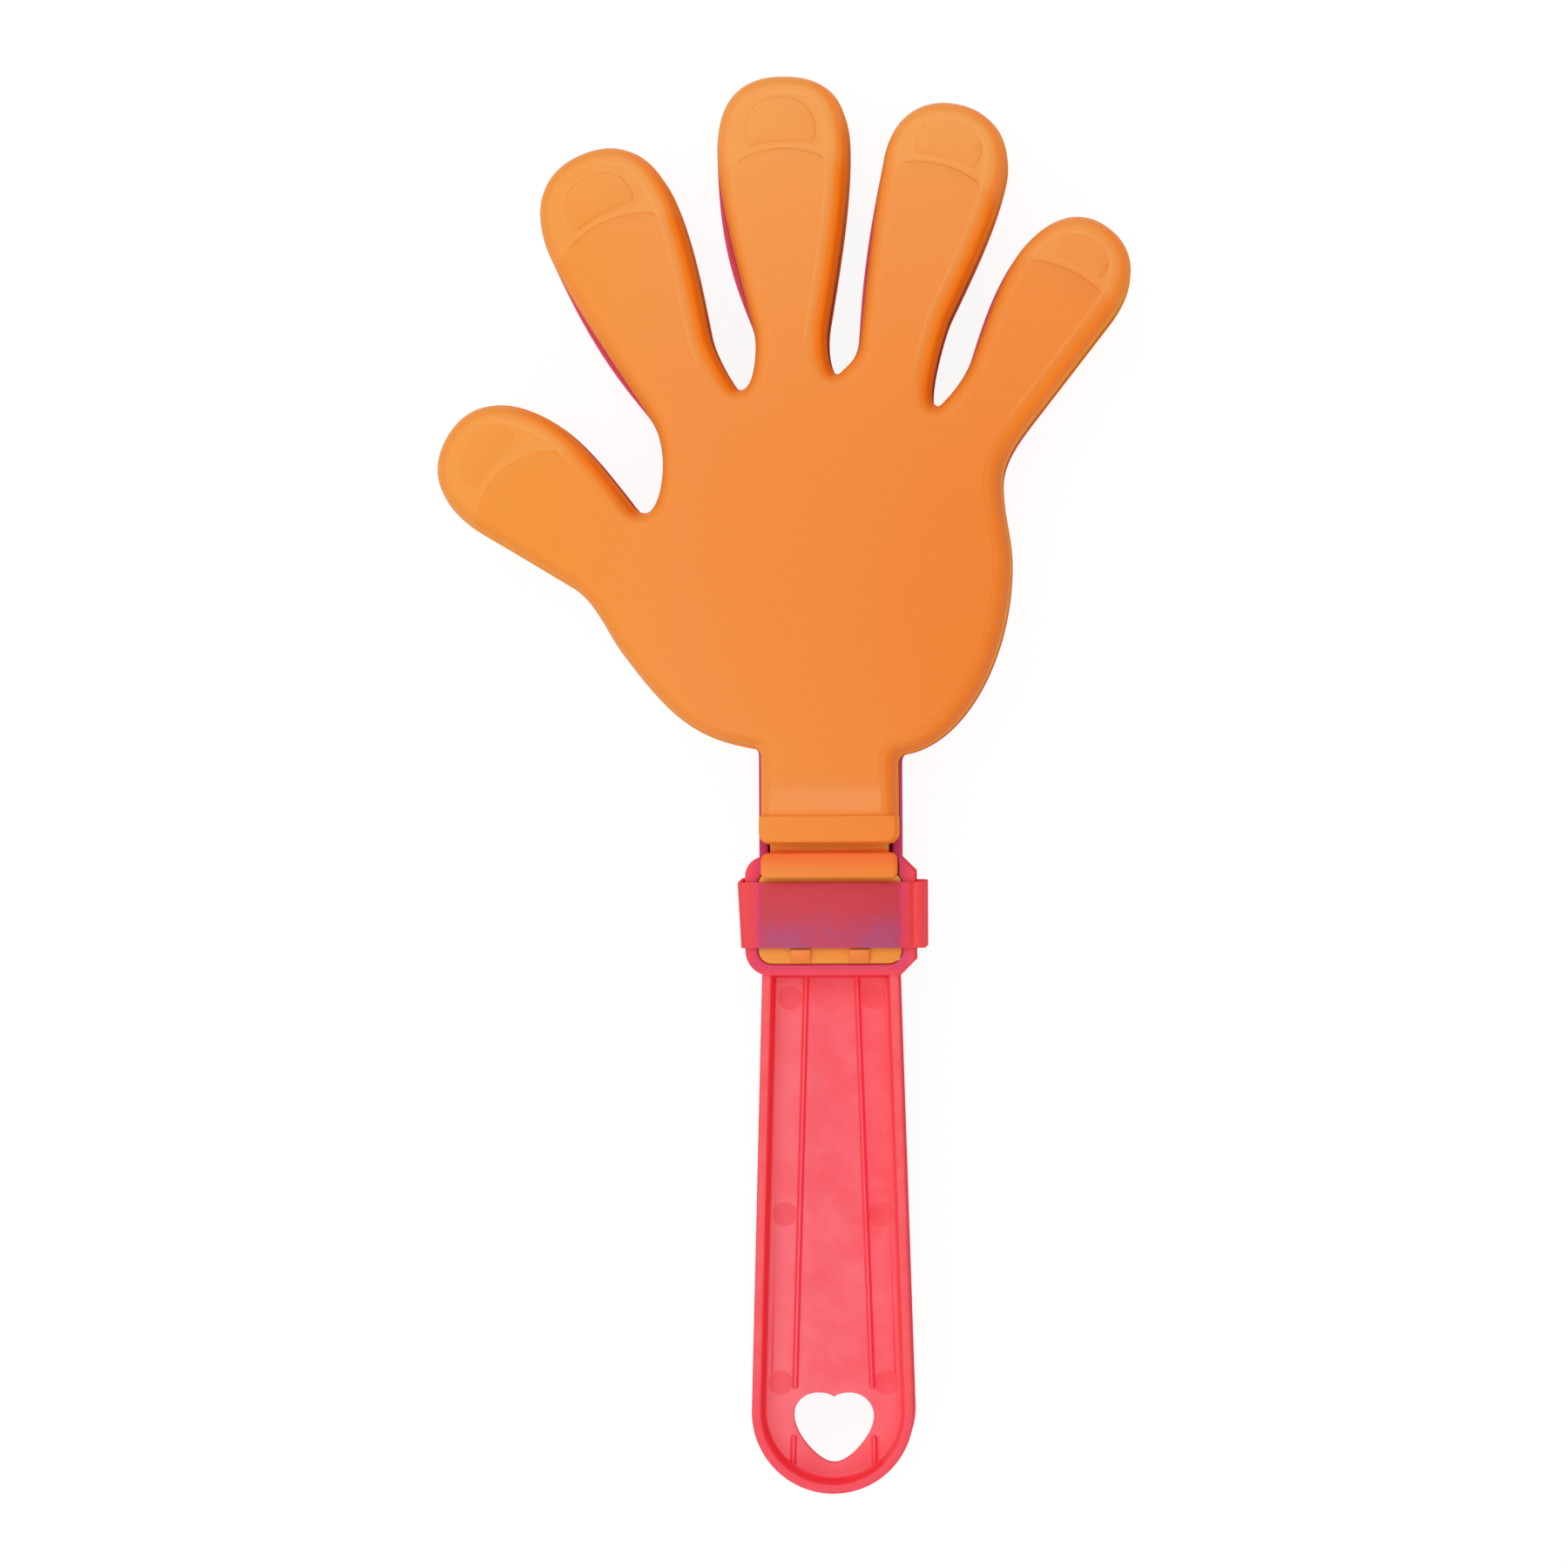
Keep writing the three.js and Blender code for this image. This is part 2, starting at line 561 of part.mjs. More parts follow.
// Corners are round on the left and cut straight on the right
function frameOutline() {
  const width = FRAME_HALF_WIDTH;
  const cut = FRAME_CHAMFER;
  const radii = [FRAME_TOP_ROUND, 0, 0, FRAME_BOTTOM_ROUND];
  const leftTop = roundRectangle(-width, 0, frameEnd, frameStart, radii);
  const straight = [[width - cut, frameStart], [width, frameStart - cut],
    [width, frameEnd + cut], [width - cut, frameEnd]].map(point);
  const steps = leftTop.length / 4;
  return [...leftTop.slice(0, steps), ...straight, ...leftTop.slice(-steps)];
}

function frame() {
  const windowRadii = Array(4).fill(WINDOW_CORNER_RADIUS);
  const opening = roundRectangle(-windowHalfWidth, windowHalfWidth, windowEnd, windowStart, windowRadii);
  const beyond = FRAME_HALF_DEPTH + 1;
  const seatHalfWidth = BLOCK_HALF_WIDTH + 0.1;
  const seatEnd = windowStart - WINDOW_CORNER_RADIUS;
  const seat = box(-seatHalfWidth, seatHalfWidth, seatEnd, frameStart + 1, CENTRE_HALF_DEPTH, beyond);
  return easedSlab(frameOutline(), 0, FRAME_HALF_DEPTH, 0.3)
    .subtract(seat)
    .add(easedSlab(frameOutline(), 0, FRAME_HALF_DEPTH, 0.3).subtract(seat).mirror([0, 0, 1]))
    .subtract(slab(opening, -beyond, beyond));
}

function handleOutline(start) {
  const arcCentre = handleEnd + HANDLE_END_RADIUS;
  const steps = 18;
  const arc = Array.from({ length: steps + 1 }, (_, i) => {
    const angle = -(Math.PI * i) / steps;
    const across = HANDLE_END_RADIUS * Math.cos(angle);
    return new THREE.Vector2(across, arcCentre + HANDLE_END_RADIUS * Math.sin(angle));
  });
  const top = HANDLE_TOP_HALF_WIDTH;
  return [new THREE.Vector2(-top, start), new THREE.Vector2(top, start), ...arc];
}

function heart() {
  const top = handleEnd + HEART_TOP_TO_END;
  const half = HEART_WIDTH / 2;
  const place = (across, down) => new THREE.Vector2(across * half, top - down * HEART_HEIGHT);
  const curves = [
    [[0, 0.06], [0.13, 0.01], [0.25, 0], [0.4, 0], 3],
    [[0.4, 0], [0.71, 0], [1, 0.13], [1, 0.33], 5],
    [[1, 0.33], [1, 0.56], [0.33, 0.92], [0.11, 0.985], 6],
    [[0.11, 0.985], [0.05, 1], [0.02, 1], [0, 1], 2],
  ];
  const rightHalf = curves.flatMap(([a, b, c, d, steps]) => (
    curvePoints(place(...a), place(...b), place(...c), place(...d), steps)));
  const leftHalf = rightHalf.slice(1).map((p) => new THREE.Vector2(-p.x, p.y)).reverse();
  return [...rightHalf, place(0, 1), ...leftHalf];
}

// Ribs run down the tray and spread with it; short ones go on beyond the hole
function rib(side, from, to) {
  const widening = (RIB_END_SPACING - RIB_TOP_SPACING) / RIB_LENGTH;
  const spread = (y) => (side * (RIB_TOP_SPACING + widening * y)) / 2;
  const half = RIB_WIDTH / 2;
  const outline = [
    [spread(from) - half, frameEnd - from], [spread(from) + half, frameEnd - from],
    [spread(to) + half, frameEnd - to], [spread(to) - half, frameEnd - to],
  ].map(point);
  return slab(outline, 0, HANDLE_WEB / 2 + RIB_HEIGHT);
}

function pinMark(side, row) {
  const slope = (HANDLE_END_RADIUS - HANDLE_TOP_HALF_WIDTH) / (HANDLE_LENGTH - HANDLE_END_RADIUS);
  const centre = side * (HANDLE_TOP_HALF_WIDTH + slope * row - PIN_MARK_INSET);
  const mark = new THREE.CylinderGeometry(PIN_MARK_RADIUS, PIN_MARK_RADIUS, 2, 20).rotateX(Math.PI / 2);
  return toSolid(mark.translate(centre, frameEnd - row, HANDLE_WEB / 2 - PIN_MARK_DEPTH + 1));
}

function handleTray() {
  const outline = handleOutline(frameEnd + FRAME_BOTTOM_BAR - CLEARANCE / 2);
  const cap = capFaces(outline);
  let tray = webbedPlate(outline, cap, FRAME_HALF_DEPTH, HANDLE_RIM, HANDLE_RIM_DRAFT, HANDLE_WEB);
  for (const side of [-1, 1]) {
    for (const row of PIN_MARK_ROWS) {
      const mark = pinMark(side, row);
      tray = tray.subtract(mark).subtract(mark.mirror([0, 0, 1]));
    }
    const lowerRib = rib(side, lowerRibTop, lowerRibTop + LOWER_RIB_LENGTH);
    const ribs = rib(side, 0, RIB_LENGTH).add(lowerRib);
    tray = tray.add(ribs).add(ribs.mirror([0, 0, 1]));
  }
  return tray.subtract(slab(heart(), -FRAME_HALF_DEPTH, FRAME_HALF_DEPTH));
}

function handle() {
  const opening = roundRectangle(-windowHalfWidth, windowHalfWidth, windowEnd, windowStart,
    Array(4).fill(WINDOW_CORNER_RADIUS));
  const hand = centreHand().subtract(slab(opening, -FRAME_HALF_DEPTH, FRAME_HALF_DEPTH));
  return hand.add(frame()).add(handleTray());
}

// A band round the frame and both tabs, with a rolled bead on its right edge
function sleeve() {
  const innerHalfWidth = FRAME_HALF_WIDTH + CLEARANCE;
  const innerHalfDepth = FRAME_HALF_DEPTH + CLEARANCE;
  const outerHalfWidth = innerHalfWidth + SLEEVE_WALL;
  const outerHalfDepth = innerHalfDepth + SLEEVE_WALL;
  const radii = Array(4).fill(SLEEVE_CORNER_RADIUS);
  const band = roundRectangle(-outerHalfWidth, outerHalfWidth, -outerHalfDepth, outerHalfDepth, radii);
  const holeRadii = Array(4).fill(0.2);
  const hole = roundRectangle(-innerHalfWidth, innerHalfWidth, -innerHalfDepth, innerHalfDepth, holeRadii);
  const beadOffset = outerHalfDepth - SLEEVE_BEAD_RADIUS;
  let ring = slab(band, 0, SLEEVE_LENGTH);
  for (const side of [-1, 1]) {
    const bead = new THREE.CylinderGeometry(SLEEVE_BEAD_RADIUS, SLEEVE_BEAD_RADIUS, SLEEVE_LENGTH, 20);
    bead.rotateX(Math.PI / 2).translate(outerHalfWidth - 0.4, side * beadOffset, SLEEVE_LENGTH / 2);
    ring = ring.add(toSolid(bead));
  }
  const geometry = toGeometry(ring.subtract(slab(hole, -1, SLEEVE_LENGTH + 1)));
  return geometry.rotateX(Math.PI / 2).translate(0, sleeveStart, 0);
}

const orange = { color: 0xf28f40, roughness: 0.45, metalness: 0 };
const pink = { color: 0xf7566a, roughness: 0.4, metalness: 0 };

function part(name, geometry, look) {
  const mesh = new THREE.Mesh(geometry, new THREE.MeshStandardMaterial(look));
  mesh.name = name;
  return mesh;
}

const clapper = new THREE.Group();
clapper.add(part('handle', toGeometry(handle()), pink));
clapper.add(part('retaining_sleeve', sleeve(), pink));
for (const [side, facing] of [['front', 1], ['rear', -1]]) {
  const half = new THREE.Group();
  half.add(part(`${side}_hand`, toGeometry(outerHand()), orange));
  half.add(part(`${side}_living_hinge`, toGeometry(livingHinge()), orange));
  half.add(part(`${side}_hinge_tab`, toGeometry(hingeTab()), orange));
  half.scale.z = facing;
  clapper.add(half);
}

const bounds = new THREE.Box3().setFromObject(clapper);
const middle = bounds.getCenter(new THREE.Vector3());
clapper.position.set(-middle.x, -middle.y, -bounds.min.z);
clapper.updateMatrixWorld(true);

export default clapper;
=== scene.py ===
"""A hand clapper: three moulded hands on one handle, lying flat on a white table.

The centre hand, window frame and handle are one pink moulding. Each orange outer hand hangs on a
living hinge, whose tab is held in the frame's window by a pink sleeve.
Sizes are in millimetres. The hinge line is y = 0, the handle's centre line is x = 0 and the middle
of the stack is z = 0, until to_frame() moves each vertex to its place in the frame, in metres.
"""
import math

import bmesh
import bpy
import numpy as np
from mathutils import Matrix, Vector
from mathutils.geometry import delaunay_2d_cdt


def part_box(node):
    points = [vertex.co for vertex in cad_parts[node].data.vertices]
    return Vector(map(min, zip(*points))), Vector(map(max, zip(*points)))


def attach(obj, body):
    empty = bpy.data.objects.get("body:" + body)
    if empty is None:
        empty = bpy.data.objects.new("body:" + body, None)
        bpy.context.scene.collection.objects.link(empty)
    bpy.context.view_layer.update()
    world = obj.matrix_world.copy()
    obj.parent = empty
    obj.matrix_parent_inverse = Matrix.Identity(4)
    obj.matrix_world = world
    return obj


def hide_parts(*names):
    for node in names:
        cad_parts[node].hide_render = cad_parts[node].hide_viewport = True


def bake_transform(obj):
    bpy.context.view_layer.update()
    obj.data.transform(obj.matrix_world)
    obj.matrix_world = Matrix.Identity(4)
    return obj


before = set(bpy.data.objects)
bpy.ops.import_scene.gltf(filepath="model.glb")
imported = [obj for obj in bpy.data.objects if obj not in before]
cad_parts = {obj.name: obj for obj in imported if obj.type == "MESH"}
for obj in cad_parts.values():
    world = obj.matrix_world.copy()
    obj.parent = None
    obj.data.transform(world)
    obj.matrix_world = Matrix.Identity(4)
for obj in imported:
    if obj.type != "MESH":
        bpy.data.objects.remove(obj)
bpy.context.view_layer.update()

# The hinge line and the middle of the stack, from the frame
hinge_low, hinge_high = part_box("front_living_hinge")
handle_low, handle_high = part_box("handle")
hinge_middle = (hinge_low + hinge_high) / 2
stack_middle = (handle_low.z + handle_high.z) / 2
ORIGIN = np.array([hinge_middle.x, hinge_middle.y, stack_middle])
MM = 0.001

# The stack of hands
CENTRE_HALF_DEPTH = 4.0
CENTRE_WEB = 1.6
CENTRE_RIM = 1.8
CENTRE_RIM_DRAFT = 0.2
CENTRE_WEB_FILLET = 0.5
CENTRE_EDGE_RADIUS = 0.3
SHELL_DEPTH = 8.0
SHELL_WALL = 1.4
SHELL_DRAFT = 0.4
SHELL_FOOT_ROUND = 0.15
EDGE_RADIUS = 3.3
CLEARANCE = 0.3
CENTRE_FINGER_SHIFT = 0.25
CENTRE_TIP_CUT = 0.2
CENTRE_LEFT_PULL = 0.52
CENTRE_NECK_EXTRA = 0.45
SHELL_LEFT_PULL = 0.24
SHELL_RIGHT_PULL = 0.3

# Neck, hinge blocks and living hinge
NECK_HALF_WIDTH = 13.6
NECK_CORNER_RADIUS = 1.2
NECK_DROP = 2.4
NECK_RAMP_LENGTH = 10.5
NECK_EDGE_RADIUS = 2.6
NECK_ROW_STEP = 0.7
BLOCK_LEFT_BULGE = 0.5
BLOCK_RIGHT_BULGE = 0.15
BLOCK_EDGE_RADIUS = 0.6
BLOCK_STEP = 0.3
HAND_BLOCK_LENGTH = 5.7
TAB_BLOCK_LENGTH = 5.0
BLOCK_HALF_WIDTH = 13.6
BLOCK_CORNER_RADIUS = 2.3
BLOCK_RISE = 4.1
HINGE_RISE = 2.0
HINGE_SLOT = 1.6
HINGE_WEB_THICKNESS = 0.4
HINGE_WEB_HALF_WIDTH = 11.7
HINGE_WEB_ROOT = 1.0

# Window frame, tabs and sleeve
FRAME_HALF_WIDTH = 16.8
FRAME_HALF_DEPTH = 6.0
FRAME_SIDE = 2.5
FRAME_TOP_BAR = 2.9
FRAME_BOTTOM_BAR = 2.25
FRAME_TOP_ROUND = 4.0
FRAME_BOTTOM_ROUND = 5.0
FRAME_CHAMFER = 3.0
FRAME_EDGE_RADIUS = 0.45
WINDOW_CORNER_RADIUS = 2.8
TAB_OVERLAP = 1.4
TAB_EDGE_RADIUS = 0.3
TAB_SEAM = 0.12
LUG_LENGTH = 2.65
LUG_WIDTH = 4.0
LUG_SPACING = 11.6
SLEEVE_LENGTH = 13.5
SLEEVE_WALL = 0.9
SLEEVE_CORNER_RADIUS = 1.6
SLEEVE_BEAD_RADIUS = 1.6
SLEEVE_BEAD_REACH = 1.0
SLEEVE_SLANT = 0.7
SLEEVE_LEFT_FULLNESS = 0.3
SLEEVE_TOP_GAP = 0.5
SLEEVE_LEFT_EAR = 0.7
SLEEVE_RIGHT_EAR = 0.3

# Handle
HANDLE_TOP_HALF_WIDTH = 13.45
HANDLE_END_RADIUS = 16.0
HANDLE_LENGTH = 102.2
HANDLE_RIM = 1.9
HANDLE_RIM_DRAFT = 0.35
HANDLE_WEB_FILLET = 0.8
HANDLE_WEB = 1.8
HANDLE_EDGE_RADIUS = 0.5
RIB_WIDTH = 1.56
RIB_HEIGHT = 0.6
RIB_TOP_SPACING = 10.0
RIB_END_SPACING = 15.3
RIB_LENGTH = 82.0
LOWER_RIB_LENGTH = 6.0
LOWER_RIB_START = 11.0
HEART_WIDTH = 15.8
HEART_HEIGHT = 13.8
HEART_TOP_TO_END = 19.4
PIN_MARK_RADIUS = 2.4
PIN_MARK_DEPTH = 0.16
PIN_MARK_INSET = 5.2
PIN_MARK_ROWS = (4.4, 47.4, 80.8)

# Fingertips
TIP_STEP = 0.3
TIP_STEP_WIDTH = 0.3
NAIL_PROUD = 0.18
NAIL_EDGE_WIDTH = 0.3
LIP_HEIGHT = 0.05
LIP_WIDTH = 0.7
LIP_PROFILE = ((0.12, 0.5), (0.28, 1.0), (0.45, 0.85), (0.65, 0.4), (0.85, 0.08), (1.0, 0.0))

# How finely the curved outlines and lines are drawn, and where faces meet in a crisp edge
OUTLINE_STEP = 0.9
LINE_STEP = 0.5
FILLET_STEPS = 9
GRID_STEP = 7.0
LINE_MARGIN = 0.12
SHARP_ANGLE = 38

# Each finger leans from the palm by so many degrees, clockwise. Its bulb is the widest place.
# Roots say how far behind the bulb a side meets the palm, and how far from the finger's line.
FINGERS = {
    "thumb": dict(bulb=(-61.3, 73.5), lean=-59.5, half_width=13.15, tip=16.37, fullness=0.64,
                  left_root=(20.4, 13.35), right_root=(19.9, 7.65),
                  nail=(0.4, 4.4), nail_size=(6.8, 7.0), nail_turn=7.5, knuckle=(-5.2, -12.0), arc=15.6,
                  relief=0.5),
    "index": dict(bulb=(-42.7, 123.2), lean=-23.5, half_width=13.5, tip=15.25, fullness=0.61,
                  right_fullness=0.66,
                  left_root=(37.3, 8.25), right_root=(27.3, 9.25),
                  nail=(0.0, 1.4), nail_size=(6.8, 8.6), nail_turn=-3.0, knuckle=(-0.5, -19.7), arc=20.1),
    "middle": dict(bulb=(-8.6, 137.9), lean=0.0, half_width=13.0, tip=14.4, fullness=0.65,
                   right_fullness=0.71,
                   left_root=(35.0, 6.0), right_root=(34.4, 8.9),
                   nail=(0.0, 0.2), nail_size=(6.9, 9.5), nail_turn=-3.0, knuckle=(0.6, -18.3), arc=17.8),
    "ring": dict(bulb=(23.65, 134.1), lean=12.5, half_width=11.95, tip=12.55, fullness=0.6,
                 left_width=12.4,
                 left_root=(36.7, 9.45), right_root=(28.6, 7.15),
                 nail=(-0.2, 0.5), nail_size=(6.4, 8.6), nail_turn=3.5, knuckle=(-1.6, -20.2), arc=19.8),
    "pinky": dict(bulb=(46.9, 110.4), lean=38.0, half_width=11.2, tip=14.35, fullness=0.62,
                  centre_pull=0.36,
                  left_root=(22.6, 5.6), right_root=(22.6, 11.2),
                  nail=(0.0, 3.9), nail_size=(5.2, 7.0), nail_turn=-8.0, knuckle=(3.5, -17.7), arc=20.7),
}

# Where neighbouring fingers meet, and how their sides lean as they leave that corner
CROTCHES = (
    ("index", "middle", (-17.2, 90.2), -41, 50),
    ("middle", "ring", (1.8, 93.1), -30, 45),
    ("ring", "pinky", (21.6, 86.6), -30, 45),
)
CROTCH_ROUND = 1.4

# The palm, from the neck round the thumb's side and back
THUMB_GAP_BOTTOM = Vector((-36.4, 66.5))
THUMB_GAP_SIDE = Vector((-32.75, 76.2))
THUMB_HEEL = Vector((-41.1, 39.0))
HEEL_LEAN = Vector((0.592, -0.806))
PALM_LOW_LEFT = Vector((-14.9, 19.7))
PALM_WAIST = Vector((34.5, 71.6))
PALM_SIDE = Vector((36.2, 55.8))
PALM_LOW_RIGHT = Vector((14.9, 18.5))
PALM_CENTRE = Vector((-1.0, 45.0))
PALM_REACH = 48.0

# The camera, which sees the object as the photo does
CAMERA_TARGET = (-9.311, 12.776, 0.0)
CAMERA_DISTANCE = 1000.0
CAMERA_TILT = 3.5
CAMERA_ROLL = 0.298
PIXELS_PER_MM = 5.784
PHOTO_WIDTH = 1800
SENSOR_WIDTH = 36.0

# Heights from the middle of the stack, and places along the handle from the hinge line
shell_base = CENTRE_HALF_DEPTH + CLEARANCE
shell_top = shell_base + SHELL_DEPTH - LIP_HEIGHT
hinge_height = shell_base + HINGE_RISE
block_top = hinge_height + BLOCK_RISE
neck_low = shell_top - NECK_DROP
slot_half = HINGE_SLOT / 2
hand_block_end = slot_half + HAND_BLOCK_LENGTH
tab_block_end = -slot_half - TAB_BLOCK_LENGTH
sleeve_start = tab_block_end - CLEARANCE
sleeve_end = sleeve_start - SLEEVE_LENGTH
tab_end = sleeve_end - CLEARANCE - LUG_LENGTH
window_start = tab_block_end + TAB_OVERLAP
window_end = tab_end - CLEARANCE
window_half_width = FRAME_HALF_WIDTH - FRAME_SIDE
frame_start = window_start + FRAME_TOP_BAR
frame_end = window_end - FRAME_BOTTOM_BAR
handle_end = frame_end - HANDLE_LENGTH
lower_rib_top = HANDLE_LENGTH - LOWER_RIB_START


# Outlines are lists of 2-D vectors, or arrays of points, drawn clockwise as seen from the front

def smooth(x):
    """0 below 0, 1 above 1, and an even S between."""
    x = np.clip(x, 0.0, 1.0)
    return x * x * (3 - 2 * x)


def curve(start, first, second, end, step=OUTLINE_STEP):
    """Points of a cubic curve, without its end."""
    length = (first - start).length + (second - first).length + (end - second).length
    count = max(3, math.ceil(length / step))
    return [
        start * (1 - t) ** 3 + first * 3 * t * (1 - t) ** 2 + second * 3 * t * t * (1 - t) + end * t ** 3
        for t in (i / count for i in range(count))
    ]


def mirrored(points):
    """The other half of an outline that is the same left and right."""
    return [Vector((-p.x, p.y)) for p in reversed(points)]


def leaning(degrees):
    angle = math.radians(degrees)
    return Vector((math.sin(angle), math.cos(angle)))


def in_finger(finger, across, along):
    """A point given across and along a finger, from the middle of its bulb."""
    up = leaning(finger["lean"])
    right = Vector((up.y, -up.x))
    return Vector(finger["bulb"]) + right * across + up * along


def finger_curves(finger):
    """The four curves of a finger: left side, left half of the tip, right half, right side."""
    half, tip, full = finger["half_width"], finger["tip"], finger["fullness"]
    pull = finger.get("left_pull", SHELL_LEFT_PULL)
    left_wide, right_full = finger.get("left_width", half), finger.get("right_fullness", full)
    left_back, left_half = finger["left_root"]
    right_back, right_half = finger["right_root"]

    def at(across, along):
        return in_finger(finger, across, along)

    left_root, right_root = at(-left_half, -left_back), at(right_half, -right_back)
    left_handle, right_handle = at(-left_wide, -pull * left_back), at(half, -SHELL_RIGHT_PULL * right_back)
    left, right, top = at(-left_wide, 0), at(half, 0), at(0, tip)
    return [
        (left_root, left_root.lerp(left_handle, 0.5), left_handle, left),
        (left, at(-left_wide, full * tip), at(-full * left_wide, tip), top),
        (top, at(right_full * half, tip), at(half, right_full * tip), right),
        (right, right_handle, right_root.lerp(right_handle, 0.5), right_root),
    ]


def finger_points(finger):
    return [p for shape in finger_curves(finger) for p in curve(*shape)]


def side_down(finger):
    """Where a finger's right side meets the palm, and its direction there."""
    _, _, pull, root = finger_curves(finger)[3]
    return root, (root - pull).normalized()


def side_up(finger):
    root, pull, _, _ = finger_curves(finger)[0]
    return root, (pull - root).normalized()


def crotch_points(crotch, fingers):
    """A corner between two fingers: down the left one's side, a small round, up the right one's."""
    before, after, at, left_lean, right_lean = crotch
    corner = Vector(at)
    down, down_direction = side_down(fingers[before])
    up, up_direction = side_up(fingers[after])
    left, right = leaning(left_lean), leaning(right_lean)
    left_foot, right_foot = corner + left * CROTCH_ROUND, corner + right * CROTCH_ROUND
    return [
        *curve(down, down + down_direction * 3.5, left_foot + left * 2.2, left_foot),
        *curve(left_foot, corner.lerp(left_foot, 0.3), corner.lerp(right_foot, 0.3), right_foot, 0.3),
        *curve(right_foot, right_foot + right * 2.2, up - up_direction * 3.5, up),
    ]


def neck_feet(half_width):
    """Where the neck's straight sides end under the palm."""
    left = Vector((-half_width, PALM_LOW_LEFT.y - 0.2 - NECK_CORNER_RADIUS))
    right = Vector((half_width, PALM_LOW_RIGHT.y - 0.5 - NECK_CORNER_RADIUS))
    return left, right


neck_end = min(foot.y for foot in neck_feet(NECK_HALF_WIDTH))


def hand_sides(fingers, half_width):
    """The hand above a neck of that half width, from the top of the neck's left side round to its right."""
    left_foot, right_foot = neck_feet(half_width)
    thumb_low, thumb_low_way = side_up(fingers["thumb"])
    thumb_high, thumb_high_way = side_down(fingers["thumb"])
    index_low, index_way = side_up(fingers["index"])
    pinky_low, pinky_way = side_down(fingers["pinky"])
    x, y = Vector((1, 0)), Vector((0, 1))
    across, along = x * NECK_CORNER_RADIUS * 0.5, y * NECK_CORNER_RADIUS * 0.6
    points = [
        *curve(left_foot, left_foot + along, PALM_LOW_LEFT + across, PALM_LOW_LEFT, 0.3),
        *curve(PALM_LOW_LEFT, PALM_LOW_LEFT - x * 11 + y * 2.1, THUMB_HEEL + HEEL_LEAN * 17.5, THUMB_HEEL),
        *curve(THUMB_HEEL, THUMB_HEEL - HEEL_LEAN * 4.5, thumb_low - thumb_low_way * 5, thumb_low),
        *finger_points(fingers["thumb"]),
        *curve(thumb_high, thumb_high + thumb_high_way * 2.2, THUMB_GAP_BOTTOM - x * 1.6, THUMB_GAP_BOTTOM),
        *curve(THUMB_GAP_BOTTOM, THUMB_GAP_BOTTOM + x * 2.4, THUMB_GAP_SIDE - y * 5, THUMB_GAP_SIDE),
        *curve(THUMB_GAP_SIDE, THUMB_GAP_SIDE + y * 3.5, index_low - index_way * 3, index_low),
        *finger_points(fingers["index"]),
    ]
    for crotch in CROTCHES:
        points += crotch_points(crotch, fingers) + finger_points(fingers[crotch[1]])
    return [
        *points,
        *curve(pinky_low, pinky_low + pinky_way * 6, PALM_WAIST + y * 5, PALM_WAIST),
        *curve(PALM_WAIST, PALM_WAIST - y * 6, PALM_SIDE + y * 6, PALM_SIDE),
        *curve(PALM_SIDE, PALM_SIDE - y * 17.2, PALM_LOW_RIGHT + x * 12.4 + y * 2.2, PALM_LOW_RIGHT),
        *curve(PALM_LOW_RIGHT, PALM_LOW_RIGHT - across, right_foot + along, right_foot, 0.3),
        right_foot,
    ]


def as_array(points):
    return np.array([(p[0], p[1]) for p in points], float)


def inset(points, distance):
    """Every point moved inwards, square to the outline; distance may differ from point to point."""
    before = np.roll(points, 1, axis=0)
    after = np.roll(points, -1, axis=0)
    arriving = points - before
    leaving = after - points
    arriving /= np.linalg.norm(arriving, axis=1)[:, None]
    leaving /= np.linalg.norm(leaving, axis=1)[:, None]
    way = arriving + leaving
    way /= np.linalg.norm(way, axis=1)[:, None]
    stretch = 1 / np.maximum((way * leaving).sum(axis=1), 0.7)
    inward = np.stack([way[:, 1], -way[:, 0]], axis=1)
    return points + inward * (np.asarray(distance) * stretch)[:, None]


def round_rectangle(left, right, low, top, radii, steps=8):
    """One radius, or one for each corner in the order top left, top right, low right, low left."""
    radii = np.broadcast_to(radii, 4)
    corners = ((left, top, 1, -1, 180), (right, top, -1, -1, 90),
               (right, low, -1, 1, 0), (left, low, 1, 1, -90))
    points = []
    for radius, (x, y, inwards, upwards, start) in zip(radii, corners):
        for i in range(steps + 1):
            angle = math.radians(start - 90 * i / steps)
            away = (inwards + math.cos(angle), upwards + math.sin(angle))
            points.append((x + radius * away[0], y + radius * away[1]))
    return np.array(points)


def quarter(across, height, reach, rise, steps=4):
    """Pairs of inset and height along a quarter round, which starts level and ends upright at across."""
    angles = [math.pi / 2 * i / steps for i in range(steps + 1)]
    return [(across + reach * (1 - math.sin(a)), height + rise * (1 - math.cos(a))) for a in angles]


def inside(points, outline):
    """Which points lie inside a closed outline."""
    x, y = points[:, 0][:, None], points[:, 1][:, None]
    x1, y1 = outline[:, 0], outline[:, 1]
    x2, y2 = np.roll(x1, -1), np.roll(y1, -1)
    crosses = (y1 > y) != (y2 > y)
    rise = np.where(y2 == y1, 1e-12, y2 - y1)
    return (crosses & (x < (x2 - x1) * (y - y1) / rise + x1)).sum(axis=1) % 2 == 1


def distance_to(points, outline, closed=True):
    """How far each point is from a line through the outline's points."""
    start = outline if closed else outline[:-1]
    end = np.roll(outline, -1, axis=0) if closed else outline[1:]
    run = end - start
    offset = points[:, None, :] - start[None]
    t = np.clip((offset * run).sum(-1) / np.maximum((run * run).sum(-1), 1e-12), 0, 1)
    return np.sqrt(((offset - t[..., None] * run) ** 2).sum(-1)).min(axis=1)


